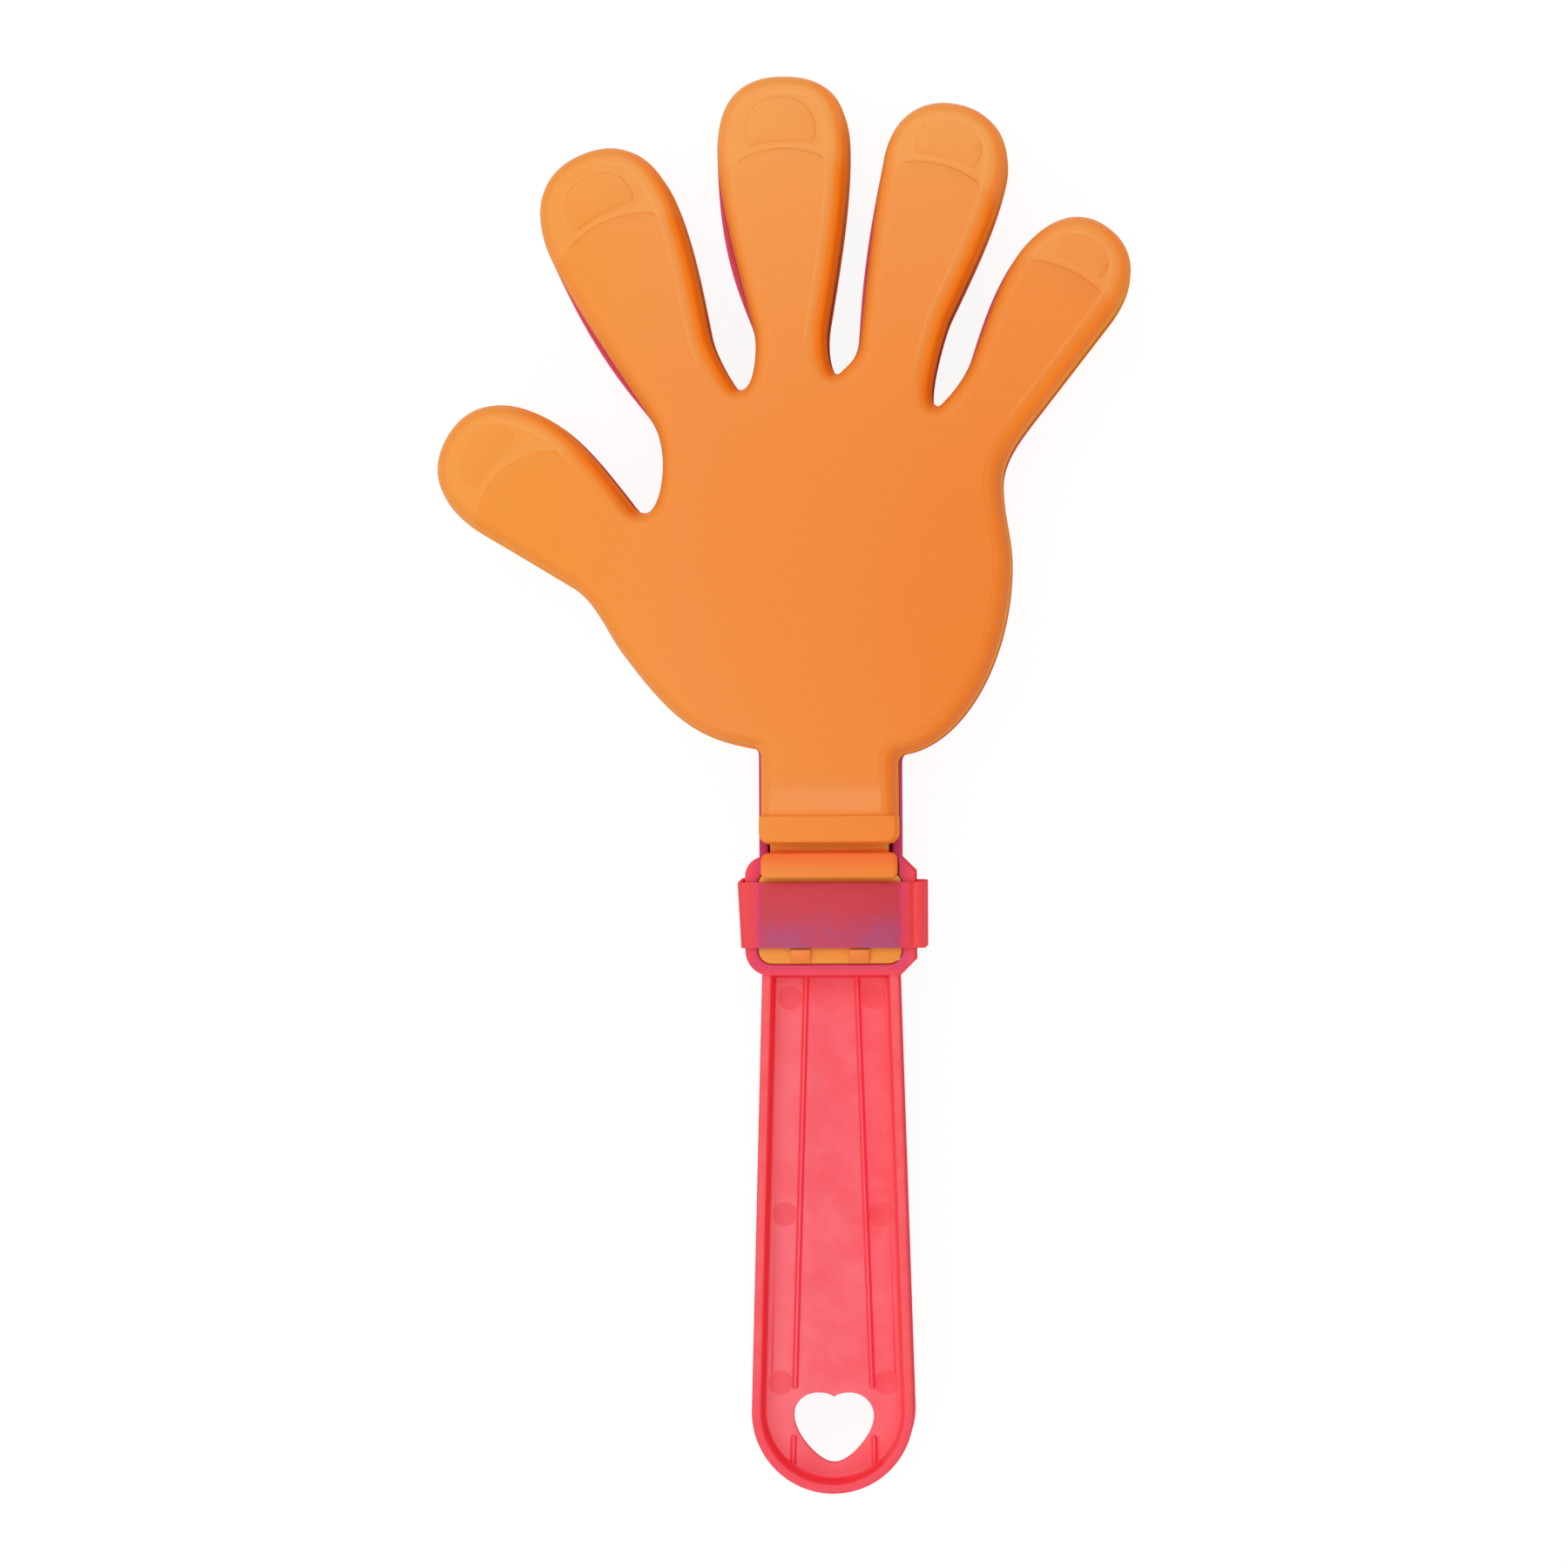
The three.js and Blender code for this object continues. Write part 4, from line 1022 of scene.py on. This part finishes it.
def sleeve_section():
    """The sleeve's outer section: square to the left, with a rolled bead at its upper and lower right."""
    half_width = FRAME_HALF_WIDTH + CLEARANCE + SLEEVE_WALL
    half_depth = FRAME_HALF_DEPTH + CLEARANCE + SLEEVE_WALL
    radius, bead = SLEEVE_CORNER_RADIUS, SLEEVE_BEAD_RADIUS
    corner_x, corner_z = radius - half_width, half_depth - radius
    bead_x = half_width + SLEEVE_BEAD_REACH - bead
    upper = []
    for i in range(9):
        angle = math.radians(180 - 90 * i / 8)
        upper.append((corner_x + radius * math.cos(angle), corner_z + radius * math.sin(angle)))
    upper += [(0, half_depth), (bead_x - bead - 0.5, half_depth)]
    for i in range(17):
        angle = math.radians(138 - 228 * i / 16)
        upper.append((bead_x + bead * math.cos(angle), half_depth - bead + bead * math.sin(angle)))
    upper.append((half_width, half_depth - 2 * bead - 0.5))
    return np.array([*upper, *((x, -z) for x, z in reversed(upper))])


def sleeve():
    """A band round the frame and both tabs, a little askew, with a rolled bead on its right edge."""
    inner_x, inner_z = FRAME_HALF_WIDTH + CLEARANCE, FRAME_HALF_DEPTH + CLEARANCE
    outer = sleeve_section()
    inner = round_rectangle(-inner_x, inner_x, -inner_z, inner_z, 0.4, steps=4)
    surface = Surface()

    def placed(line, y, share, shrink):
        """A section of the band at one place along it."""
        x, z = line.T
        slant = (SLEEVE_SLANT * share - SLEEVE_LEFT_FULLNESS) * smooth((-x - inner_x + 3) / 3)
        spots = inset(np.stack([x + slant, z], axis=1), shrink)
        ear = np.where(x > 0, SLEEVE_RIGHT_EAR, SLEEVE_LEFT_EAR) * smooth(0.5 - z / 4)
        lift = ear * (abs(x) > BLOCK_HALF_WIDTH + 1) * (1 - smooth(share * 6))
        return surface.add([(a, y + e, b) for (a, b), e in zip(spots, lift)])

    ends = [(0.0, 0.2), (0.05, 0.06), (0.2, 0.0)]
    stations = [(sleeve_start - SLEEVE_TOP_GAP - d, shrink) for d, shrink in ends]
    stations += [(sleeve_start - SLEEVE_LENGTH * t, 0.0) for t in (0.12, 0.25, 0.5, 0.75, 0.9)]
    stations += [(sleeve_end + d, shrink) for d, shrink in reversed(ends)]
    outer_rings = [placed(outer, y, (sleeve_start - y) / SLEEVE_LENGTH, shrink) for y, shrink in stations]
    inner_rings = [placed(inner, y, (sleeve_start - y) / SLEEVE_LENGTH * 0.2, 0)
                   for y, _ in (stations[0], stations[5], stations[-1])]
    for rings in (outer_rings, inner_rings):
        surface.strip(rings)
    for end in (0, -1):
        surface.tube_end(outer_rings[end], inner_rings[end])
    return piece("sleeve_band", surface)


# Materials

class Value:
    """A number that a material works out at each point. Sums and products of these are nodes too."""

    def __init__(self, nodes, socket):
        self.nodes = nodes
        self.socket = socket

    def __add__(self, other):
        return self.nodes.math("ADD", self, other)

    def __sub__(self, other):
        return self.nodes.math("SUBTRACT", self, other)

    def __mul__(self, other):
        return self.nodes.math("MULTIPLY", self, other)

    def __truediv__(self, other):
        return self.nodes.math("DIVIDE", self, other)

    def __abs__(self):
        return self.nodes.math("ABSOLUTE", self)


def colour(red, green, blue):
    """A display colour, 0 to 255, as the linear values that shaders take."""
    def linear(v):
        v /= 255
        return v / 12.92 if v <= 0.04045 else ((v + 0.055) / 1.055) ** 2.4
    return (linear(red), linear(green), linear(blue), 1.0)


class Nodes:
    """Adds nodes to a material and joins them."""

    def __init__(self, name):
        self.material = bpy.data.materials.new(name)
        self.material.use_nodes = True
        self.tree = self.material.node_tree
        self.shader = self.tree.nodes["Principled BSDF"]

    def add(self, kind, settings=None, **inputs):
        """Inputs are given by name, or as input0 and so on by place."""
        node = self.tree.nodes.new(kind)
        for key, value in (settings or {}).items():
            setattr(node, key, value)
        for key, value in inputs.items():
            socket = int(key[5:]) if key.startswith("input") else key.replace("_", " ")
            self.feed(node, socket, value)
        return node

    def feed(self, node, socket, value):
        value = value.socket if isinstance(value, Value) else value
        if isinstance(value, bpy.types.NodeSocket):
            self.tree.links.new(value, node.inputs[socket])
        else:
            node.inputs[socket].default_value = value

    def finish(self, values):
        """Feeds the surface's sockets, which are given by name."""
        for socket, value in values.items():
            self.feed(self.shader, socket, value)

    def split(self, vector):
        return [Value(self, socket) for socket in self.add("ShaderNodeSeparateXYZ", Vector=vector).outputs]

    def math(self, operation, a, b=0.5):
        node = self.add("ShaderNodeMath", {"operation": operation}, input0=a, input1=b)
        return Value(self, node.outputs[0])

    def highest(self, first, *others):
        for other in others:
            first = self.math("MAXIMUM", first, other)
        return first

    def share_of(self, value, limit):
        """The value as a share of its limit, from 0 to 1."""
        return self.highest(self.math("MINIMUM", value, limit), 0.0) / limit

    def distance(self, x, y):
        return self.math("SQRT", self.math("POWER", x, 2.0) + self.math("POWER", y, 2.0))

    def rise(self, value, low, high, from_share=0.0, to_share=1.0):
        """An even S between two shares while the value goes from low to high."""
        node = self.add("ShaderNodeMapRange", {"interpolation_type": "SMOOTHSTEP"}, Value=value, From_Min=low,
                        From_Max=high, To_Min=from_share, To_Max=to_share)
        return Value(self, node.outputs[0])

    def fall(self, value, low, high, from_share=1.0):
        return self.rise(value, low, high, from_share, 0.0)

    def mix(self, share, one, other):
        """Two colours, each a socket or a display colour."""
        one, other = (colour(*c) if isinstance(c, tuple) else c for c in (one, other))
        node = self.add("ShaderNodeMix", {"data_type": "RGBA"}, input0=share, input6=one, input7=other)
        return node.outputs[2]

    def paint(self, body, *coats):
        """Coats of colour, each with its share, over a body colour."""
        for share, coat in coats:
            body = self.mix(share, body, coat)
        return body

    def attribute(self, name):
        return Value(self, self.add("ShaderNodeAttribute", {"attribute_name": name}).outputs["Fac"])

    def noise(self, place, scale, detail=3.0, roughness=0.5):
        node = self.add("ShaderNodeTexNoise", Vector=place, Scale=scale, Detail=detail, Roughness=roughness)
        return Value(self, node.outputs["Fac"])

    def bump(self, height, strength, distance, **under):
        node = self.add("ShaderNodeBump", Height=height, Strength=strength, Distance=distance, **under)
        return node.outputs[0]


class Place:
    """Where a point of the surface lies, in millimetres from the hinge line, and which way it faces."""

    def __init__(self, n):
        coordinates = n.add("ShaderNodeTexCoord").outputs
        self.where = coordinates["Object"]
        spot = zip(n.split(self.where), ORIGIN)
        self.x, self.y, z = ((value - float(start)) / MM for value, start in spot)
        facing_x, facing_y, facing_z = n.split(coordinates["Normal"])
        self.off_centre = abs(self.x)
        self.depth = abs(z)
        self.level = abs(facing_z)
        self.right = n.rise(facing_x - facing_y * 0.12, 0.02, 0.4)
        self.left = n.fall(facing_x, -0.4, -0.05)
        self.round_left = n.fall(facing_x, -1.0, 0.3)


def orange_body(n, at):
    """Painted light and shade: paler and yellower towards the thumb and fingertips, where the light is
    strong, and deeper at the palm's right and on the right-facing edges, where it falls off; a painted sheen
    on the neck's ramp and painted highlights along the right ridges.
    """
    x, y = at.x, at.y
    # Painted light: paler towards the thumb and fingertips at the upper left, darker towards the neck and the
    # palm's lower right, where the light falls off.
    pale = x * -0.01476 + 0.654 - y * 0.01307 + x * y * 0.0000855 + y * y * 0.000126
    pale = n.share_of(pale - n.fall(y, 3.0, 12.0, 0.22), 1.2)
    clouds = n.noise(at.where, 28.0, 2.0)
    # Painted shade at the palm's lower right.
    low_right = n.rise(x, 10.0, 30.0) * n.fall(y, 50.0, 85.0)
    # Painted sheen: a paler patch on the middle of the neck's ramp, which faces down the handle towards a
    # light.
    neck_ramp_sheen = n.rise(y, 6.6, 8.0) * n.fall(y, 10.5, 13.5) * n.fall(abs(x + 0.8), 10.7, 11.4)
    tip, ridge_highlight = n.attribute("tip_zone"), n.attribute("ridge_highlight")
    flat = n.paint(
        n.mix(pale, (241, 128, 34), (242, 153, 70)),
        (n.rise(clouds, 0.35, 0.65, 0.0, 0.15), (240, 134, 50)),
        (n.fall(x, -58.0, -28.0) * 0.8, (242, 145, 36)),
        (low_right * 0.5, (241, 128, 36)),
        (neck_ramp_sheen, (244, 148, 74)),
        (tip * 0.3, (246, 170, 88)),
        # painted highlight along the right ridges
        (ridge_highlight * 0.4, (245, 170, 100)),
    )
    sloping = n.fall(at.level, 0.84, 0.995)
    steep = n.fall(at.level, 0.35, 0.8)
    on_fingers = n.rise(n.distance(x - PALM_CENTRE.x, y - PALM_CENTRE.y), PALM_REACH - 4, PALM_REACH + 8)
    # Painted shade: edges that face right, away from the light, turn a deeper orange, most where they are
    # steep and less on the fingertips.
    finger_edge_shade = n.mix(steep, (255, 133, 16), (255, 120, 2))
    palm_edge_shade = n.mix(steep, (243, 126, 26), (238, 112, 14))
    left_edge = n.mix(sloping * 0.4, flat, (240, 138, 44))
    shaded_right_edge = n.mix(sloping * (tip * -0.28 + 1.0), flat, n.mix(on_fingers, palm_edge_shade, finger_edge_shade))
    wall = n.mix(n.rise(at.depth, shell_base + 0.6, shell_base + 2.6), (240, 156, 36), (255, 152, 22))
    specks = n.add("ShaderNodeTexVoronoi", {"feature": "F1"}, Vector=at.where, Scale=260.0).outputs
    chance = n.add("ShaderNodeSeparateColor", Color=specks["Color"]).outputs[0]
    return n.paint(
        n.mix(at.right, left_edge, shaded_right_edge),
        (n.fall(at.level, 0.1, 0.24), wall),
        (n.fall(specks["Distance"], 0.02, 0.06) * n.rise(chance, 0.975, 0.98), (205, 105, 40)),
    )


def moulded_finish(n, at, body, gloss, scatter):
    """Satin faces with a slight orange peel; the side walls, drawn from the mould, are matt."""
    grain = n.noise(at.where, 900.0, 4.0)
    polish = n.rise(grain, 0.3, 0.7, gloss, gloss + 0.1)
    waves = n.bump(n.noise(at.where, 45.0, 1.0), 0.25, 0.0006)
    weight, radius, scale = scatter
    n.finish({
        "Base Color": body,
        "Roughness": n.highest(polish, n.fall(at.level, 0.12, 0.5)),
        "Normal": n.bump(grain, 0.12, 0.00006, Normal=waves),
        "IOR": 1.49,
        "Specular IOR Level": 0.3,
        "Subsurface Weight": weight,
        "Subsurface Radius": radius,
        "Subsurface Scale": scale,
    })
    return n.material


def orange_finish(n, at, body):
    return moulded_finish(n, at, body, 0.34, (0.12, (1.0, 0.35, 0.1), 0.0015))


def pink_finish(n, at, body):
    return moulded_finish(n, at, body, 0.3, (0.35, (1.0, 0.12, 0.15), 0.003))


def orange_plastic():
    n = Nodes("orange_plastic")
    at = Place(n)
    return orange_finish(n, at, orange_body(n, at))


def tab_plastic():
    """The tabs have painted shade, a deeper orange, up the block towards the hinge, painted light on the
    plate's strip in the block's shadow by the sleeve, and a tan line round their thin plate.
    """
    n = Nodes("tab_plastic")
    at = Place(n)
    past_frame = at.depth - FRAME_HALF_DEPTH
    # Painted shade: the block's top turns a deeper orange towards the hinge, where it faces away from the
    # light.
    block_shade_to_hinge = n.rise(at.y, tab_block_end + 0.6, -slot_half, 0.1, 1.0)
    on_block = n.rise(at.y, sleeve_start - 0.3, sleeve_start + 0.3)
    on_plate = n.fall(at.y, sleeve_end, sleeve_end + 0.5)
    plate_edge = n.rise(past_frame, 0.0, 0.1, 1.0, 0.3) * n.fall(at.level, 0.7, 0.98)
    # Painted light: a paler strip on the plate by the sleeve, which lies in the block's shadow.
    lit_strip_by_sleeve = n.fall(past_frame, 0.0, 0.3) * n.rise(at.y, sleeve_start - 0.5, sleeve_start)
    return orange_finish(n, at, n.paint(
        orange_body(n, at),
        (block_shade_to_hinge * on_block, (243, 106, 36)),
        (on_plate * n.fall(past_frame, 0.05, 0.3, 0.25), (240, 160, 48)),
        (on_plate * n.rise(past_frame, 0.2, 0.4, 0.0, 0.6), (243, 126, 60)),
        (on_plate * plate_edge, (228, 158, 56)),
        (lit_strip_by_sleeve, (240, 185, 70)),
    ))


def web_plastic():
    """The living hinge's thin web, with painted light and shade across its groove: pale by the hand's block,
    a deeper orange towards the tab's block.
    """
    n = Nodes("web_plastic")
    at = Place(n)
    # Painted light and shade across the groove: pale by the hand's block, deeper orange towards the tab's
    # block.
    along = n.fall(at.y, -0.7 * slot_half, 0.5 * slot_half)
    return orange_finish(n, at, n.mix(along, (240, 168, 62), (244, 118, 20)))


def pin_share(n, at):
    """1 inside the round marks of the mould's ejector pins, 0 outside, with a softer share at their rims."""
    right_marks = pin_marks()[len(PIN_MARK_ROWS):]
    rim = (PIN_MARK_RADIUS - 0.25, PIN_MARK_RADIUS + 0.15)
    return n.highest(*(n.fall(n.distance(at.off_centre - x, at.y - y), *rim, 0.55) for x, y in right_marks))


def pink_body(n, at):
    """The tinted plastic: pale in the thin web, with painted light towards its left; deeper on the rims; deep
    red down its walls, partly the tint seen through more plastic and partly painted shade; and painted light
    and shade on the ribs, the frame round the window and the centre hand's rims.
    """
    clouds = n.noise(at.where, 160.0, 4.0, 0.6)
    wisps = n.noise(at.where, 55.0, 3.0, 0.55)
    # Clouds of paler tint, with painted light: the web grows paler towards its left, where the left rim
    # shades it.
    pale = n.rise(clouds, 0.32, 0.72, 0.0, 0.45) + n.fall(at.x, -11.0, -1.0, 0.85)
    pale = pale + n.rise(wisps, 0.4, 0.62, -0.1, 0.2) + n.fall(at.y, -90.0, -30.0, 0.3)
    web = n.mix(n.share_of(pale, 1.3), (250, 82, 95), (255, 118, 128))
    web = n.mix(pin_share(n, at), web, (246, 70, 86))
    dense = n.rise(clouds, 0.38, 0.66)
    grip_rim = n.mix(dense, (245, 88, 95), (247, 98, 104))
    grip_rim = n.mix(n.rise(at.y, handle_end + 10.0, handle_end + 26.0), (244, 78, 94), grip_rim)
    on_handle = n.fall(at.y, frame_end - 1.0, frame_end + 0.3)
    rim = n.mix(on_handle, n.mix(dense, (240, 68, 86), (242, 78, 95)), grip_rim)
    flat = n.mix(n.rise(at.depth, 1.2, 2.4), web, rim)

    rib_top = HANDLE_WEB / 2 + RIB_HEIGHT
    by_rib = n.fall(at.off_centre, 8.8, 9.4) * n.rise(at.y, handle_end + 2.4, handle_end + 2.8)
    by_rib = by_rib * n.fall(at.depth, rib_top + 0.1, rib_top + 0.4)
    # Painted light and shade on the ribs: left-facing slopes paler, right-facing ones deeper, and their walls
    # paler than the tray's.
    rib_slope_light_and_shade = n.mix(at.left, (254, 58, 88), (246, 78, 84))
    flat = n.mix(by_rib * n.fall(at.level, 0.8, 0.995), flat, rib_slope_light_and_shade)
    # Deep red down the walls and edges: partly the tint seen through more plastic, partly painted shade.
    edge = n.mix(n.rise(at.level, 0.55, 0.99), n.mix(by_rib, (252, 50, 62), rib_slope_light_and_shade), flat)
    wall = n.mix(by_rib, (250, 50, 64), (255, 84, 96))

    past_window = n.highest(at.off_centre - window_half_width, at.y * -1.0 + window_end)
    on_frame = n.rise(at.y, frame_end - 1.0, frame_end + 0.5)
    in_hand = n.rise(at.y, frame_start - 0.5, frame_start + 1.5)
    on_rim = n.highest(n.rise(at.depth, 1.5, 3.0), n.fall(at.level, 0.2, 0.5))
    # Painted light on the centre hand's left-facing walls, painted shade on the others.
    hand_wall_light_and_shade = n.mix(at.round_left, (210, 40, 80), (242, 112, 150))
    return n.paint(
        n.mix(n.rise(at.level, 0.08, 0.4), wall, edge),
        # painted light: the right rim's inner wall, which faces left towards the light, is paler
        (n.rise(at.x, 9.5, 10.5) * at.left * 0.75, (250, 84, 94)),
        # painted shade: a darker magenta on the frame close round the window
        (on_frame * n.fall(past_window, 0.1, 2.0, 0.42), (205, 50, 118)),
        # painted shade: the centre hand's rims, between the orange shells, in deep magenta, with painted
        # light on their left-facing walls
        (in_hand * on_rim, n.mix(n.rise(at.y, 12.0, 26.0), (208, 38, 104), hand_wall_light_and_shade)),
    )


def pink_plastic():
    n = Nodes("pink_plastic")
    at = Place(n)
    return pink_finish(n, at, pink_body(n, at))


def sleeve_plastic():
    """The same plastic, but thin, with the orange tabs showing through as a dull mauve."""
    n = Nodes("sleeve_plastic")
    at = Place(n)
    past_tab = at.off_centre - window_half_width
    over_tab = n.fall(past_tab, -0.5, 0.0)
    outside = n.rise(at.depth, FRAME_HALF_DEPTH + 0.1, FRAME_HALF_DEPTH + 0.3)
    down = n.fall(at.y, sleeve_end, sleeve_end + 0.72 * SLEEVE_LENGTH)
    haze = n.noise(at.where, 330.0, 6.0, 0.7) + n.noise(at.where, 110.0, 3.0, 0.55)
    through = n.mix(down * n.rise(haze, 0.93, 1.05, 0.5, 1.0), (209, 60, 74), (182, 78, 122))
    return pink_finish(n, at, n.paint(
        pink_body(n, at),
        (outside * 0.85, (243, 68, 72)),
        (over_tab * outside, through),
        (n.fall(abs(past_tab), 0.15, 0.7, 0.6) * outside, (226, 56, 116)),
        # painted highlight: a paler line along the sleeve's top edge
        (n.rise(at.y, sleeve_start - 0.55, sleeve_start - 0.25, 0.0, 0.35) * outside, (240, 120, 130)),
    ))


def table_top():
    """White under the object's own light, and white to the camera, with a faint shadow."""
    n = Nodes("table_top")
    n.finish({"Base Color": (0.8, 0.8, 0.8, 1), "Roughness": 0.9, "Specular IOR Level": 0.1})
    seen = n.add("ShaderNodeLightPath").outputs
    direct = n.highest(seen["Is Camera Ray"], seen["Is Glossy Ray"], seen["Is Transmission Ray"])
    glow = n.add("ShaderNodeEmission", Strength=0.9)
    pale = n.add("ShaderNodeBsdfDiffuse", Color=(0.14, 0.14, 0.14, 1))
    both = n.add("ShaderNodeAddShader", input0=glow.outputs[0], input1=pale.outputs[0])
    chosen = n.add("ShaderNodeMixShader", input0=direct, input1=n.shader.outputs[0], input2=both.outputs[0])
    n.feed(n.tree.nodes["Material Output"], "Surface", chosen.outputs[0])
    return n.material


# The object

def build_object():
    orange, tab_orange, web_orange = orange_plastic(), tab_plastic(), web_plastic()
    pink, thin_pink = pink_plastic(), sleeve_plastic()
    made = finish_piece(handle(), pink)
    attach(made, "handle_body")
    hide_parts("handle")
    band = finish_piece(sleeve(), thin_pink)
    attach(band, "handle_body")
    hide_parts("retaining_sleeve")
    for side, facing in (("front", 1), ("rear", -1)):
        hand = finish_piece(outer_hand(f"{side}_hand_shell", facing), orange)
        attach(hand, f"{side}_hand_body")
        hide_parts(f"{side}_hand")
        tab = finish_piece(hinge_tab(f"{side}_tab", facing), tab_orange)
        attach(tab, "handle_body")
        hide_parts(f"{side}_hinge_tab")
        web = finish_piece(living_hinge(f"{side}_hinge_web", facing), web_orange)
        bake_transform(web)
        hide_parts(f"{side}_living_hinge")


# Table, light and camera, in metres

def area_light(name, place, target, size, watts):
    data = bpy.data.lights.new(name, "AREA")
    data.shape = "RECTANGLE"
    data.size, data.size_y = size
    data.energy = watts
    lamp = bpy.data.objects.new(name, data)
    bpy.context.scene.collection.objects.link(lamp)
    lamp.location = place
    lamp.rotation_mode = "QUATERNION"
    lamp.rotation_quaternion = (Vector(target) - Vector(place)).to_track_quat("-Z", "Y")


def build_stage():
    half = 3.0
    mesh = bpy.data.meshes.new("table")
    corners = [(-half, -half, 0), (half, -half, 0), (half, half, 0), (-half, half, 0)]
    mesh.from_pydata(corners, [], [(0, 1, 2, 3)])
    table = bpy.data.objects.new("table", mesh)
    bpy.context.scene.collection.objects.link(table)
    table.location.z = -0.0002
    mesh.materials.append(table_top())
    area_light("left_softbox", (-1.1, 0.0, 0.95), (0, 0, 0), (0.9, 1.2), 2.0)
    area_light("top_softbox", (-0.25, 0.3, 1.3), (0, 0, 0), (1.1, 1.1), 2.4)
    area_light("back_softbox", (-0.1, 0.75, 1.0), (0, 0, 0), (1.2, 0.5), 2.2)
    area_light("front_softbox", (-0.1, -0.75, 1.0), (0, 0, 0), (1.2, 0.5), 2.4)
    world = bpy.data.worlds.new("studio")
    bpy.context.scene.world = world
    world.use_nodes = True
    nodes, links = world.node_tree.nodes, world.node_tree.links
    background = nodes["Background"]
    seen = nodes.new("ShaderNodeLightPath")
    strength = nodes.new("ShaderNodeMapRange")
    strength.inputs["To Min"].default_value = 0.64
    strength.inputs["To Max"].default_value = 1.0
    links.new(seen.outputs["Is Camera Ray"], strength.inputs["Value"])
    links.new(strength.outputs[0], background.inputs["Strength"])
    background.inputs["Color"].default_value = (1, 1, 1, 1)


def build_camera():
    """Looks straight down on the stack, from a little to the right of it."""
    tilt, roll = math.radians(CAMERA_TILT), math.radians(CAMERA_ROLL)
    back = Vector((math.sin(tilt), 0, math.cos(tilt)))
    up = Vector((math.sin(roll), math.cos(roll), 0))
    right = up.cross(back).normalized()
    up = back.cross(right)
    data = bpy.data.cameras.new("camera")
    data.sensor_width = SENSOR_WIDTH
    data.lens = SENSOR_WIDTH * CAMERA_DISTANCE * PIXELS_PER_MM / PHOTO_WIDTH
    data.clip_start, data.clip_end = 0.05, 20.0
    camera = bpy.data.objects.new("camera", data)
    bpy.context.scene.collection.objects.link(camera)
    target = Vector(to_frame(CAMERA_TARGET))
    turn = Matrix((right, up, back)).transposed().to_4x4()
    camera.matrix_world = Matrix.Translation(target + back * CAMERA_DISTANCE * MM) @ turn
    bpy.context.scene.camera = camera


build_camera()
build_stage()
build_object()
bpy.context.scene.view_settings.view_transform = "Standard"
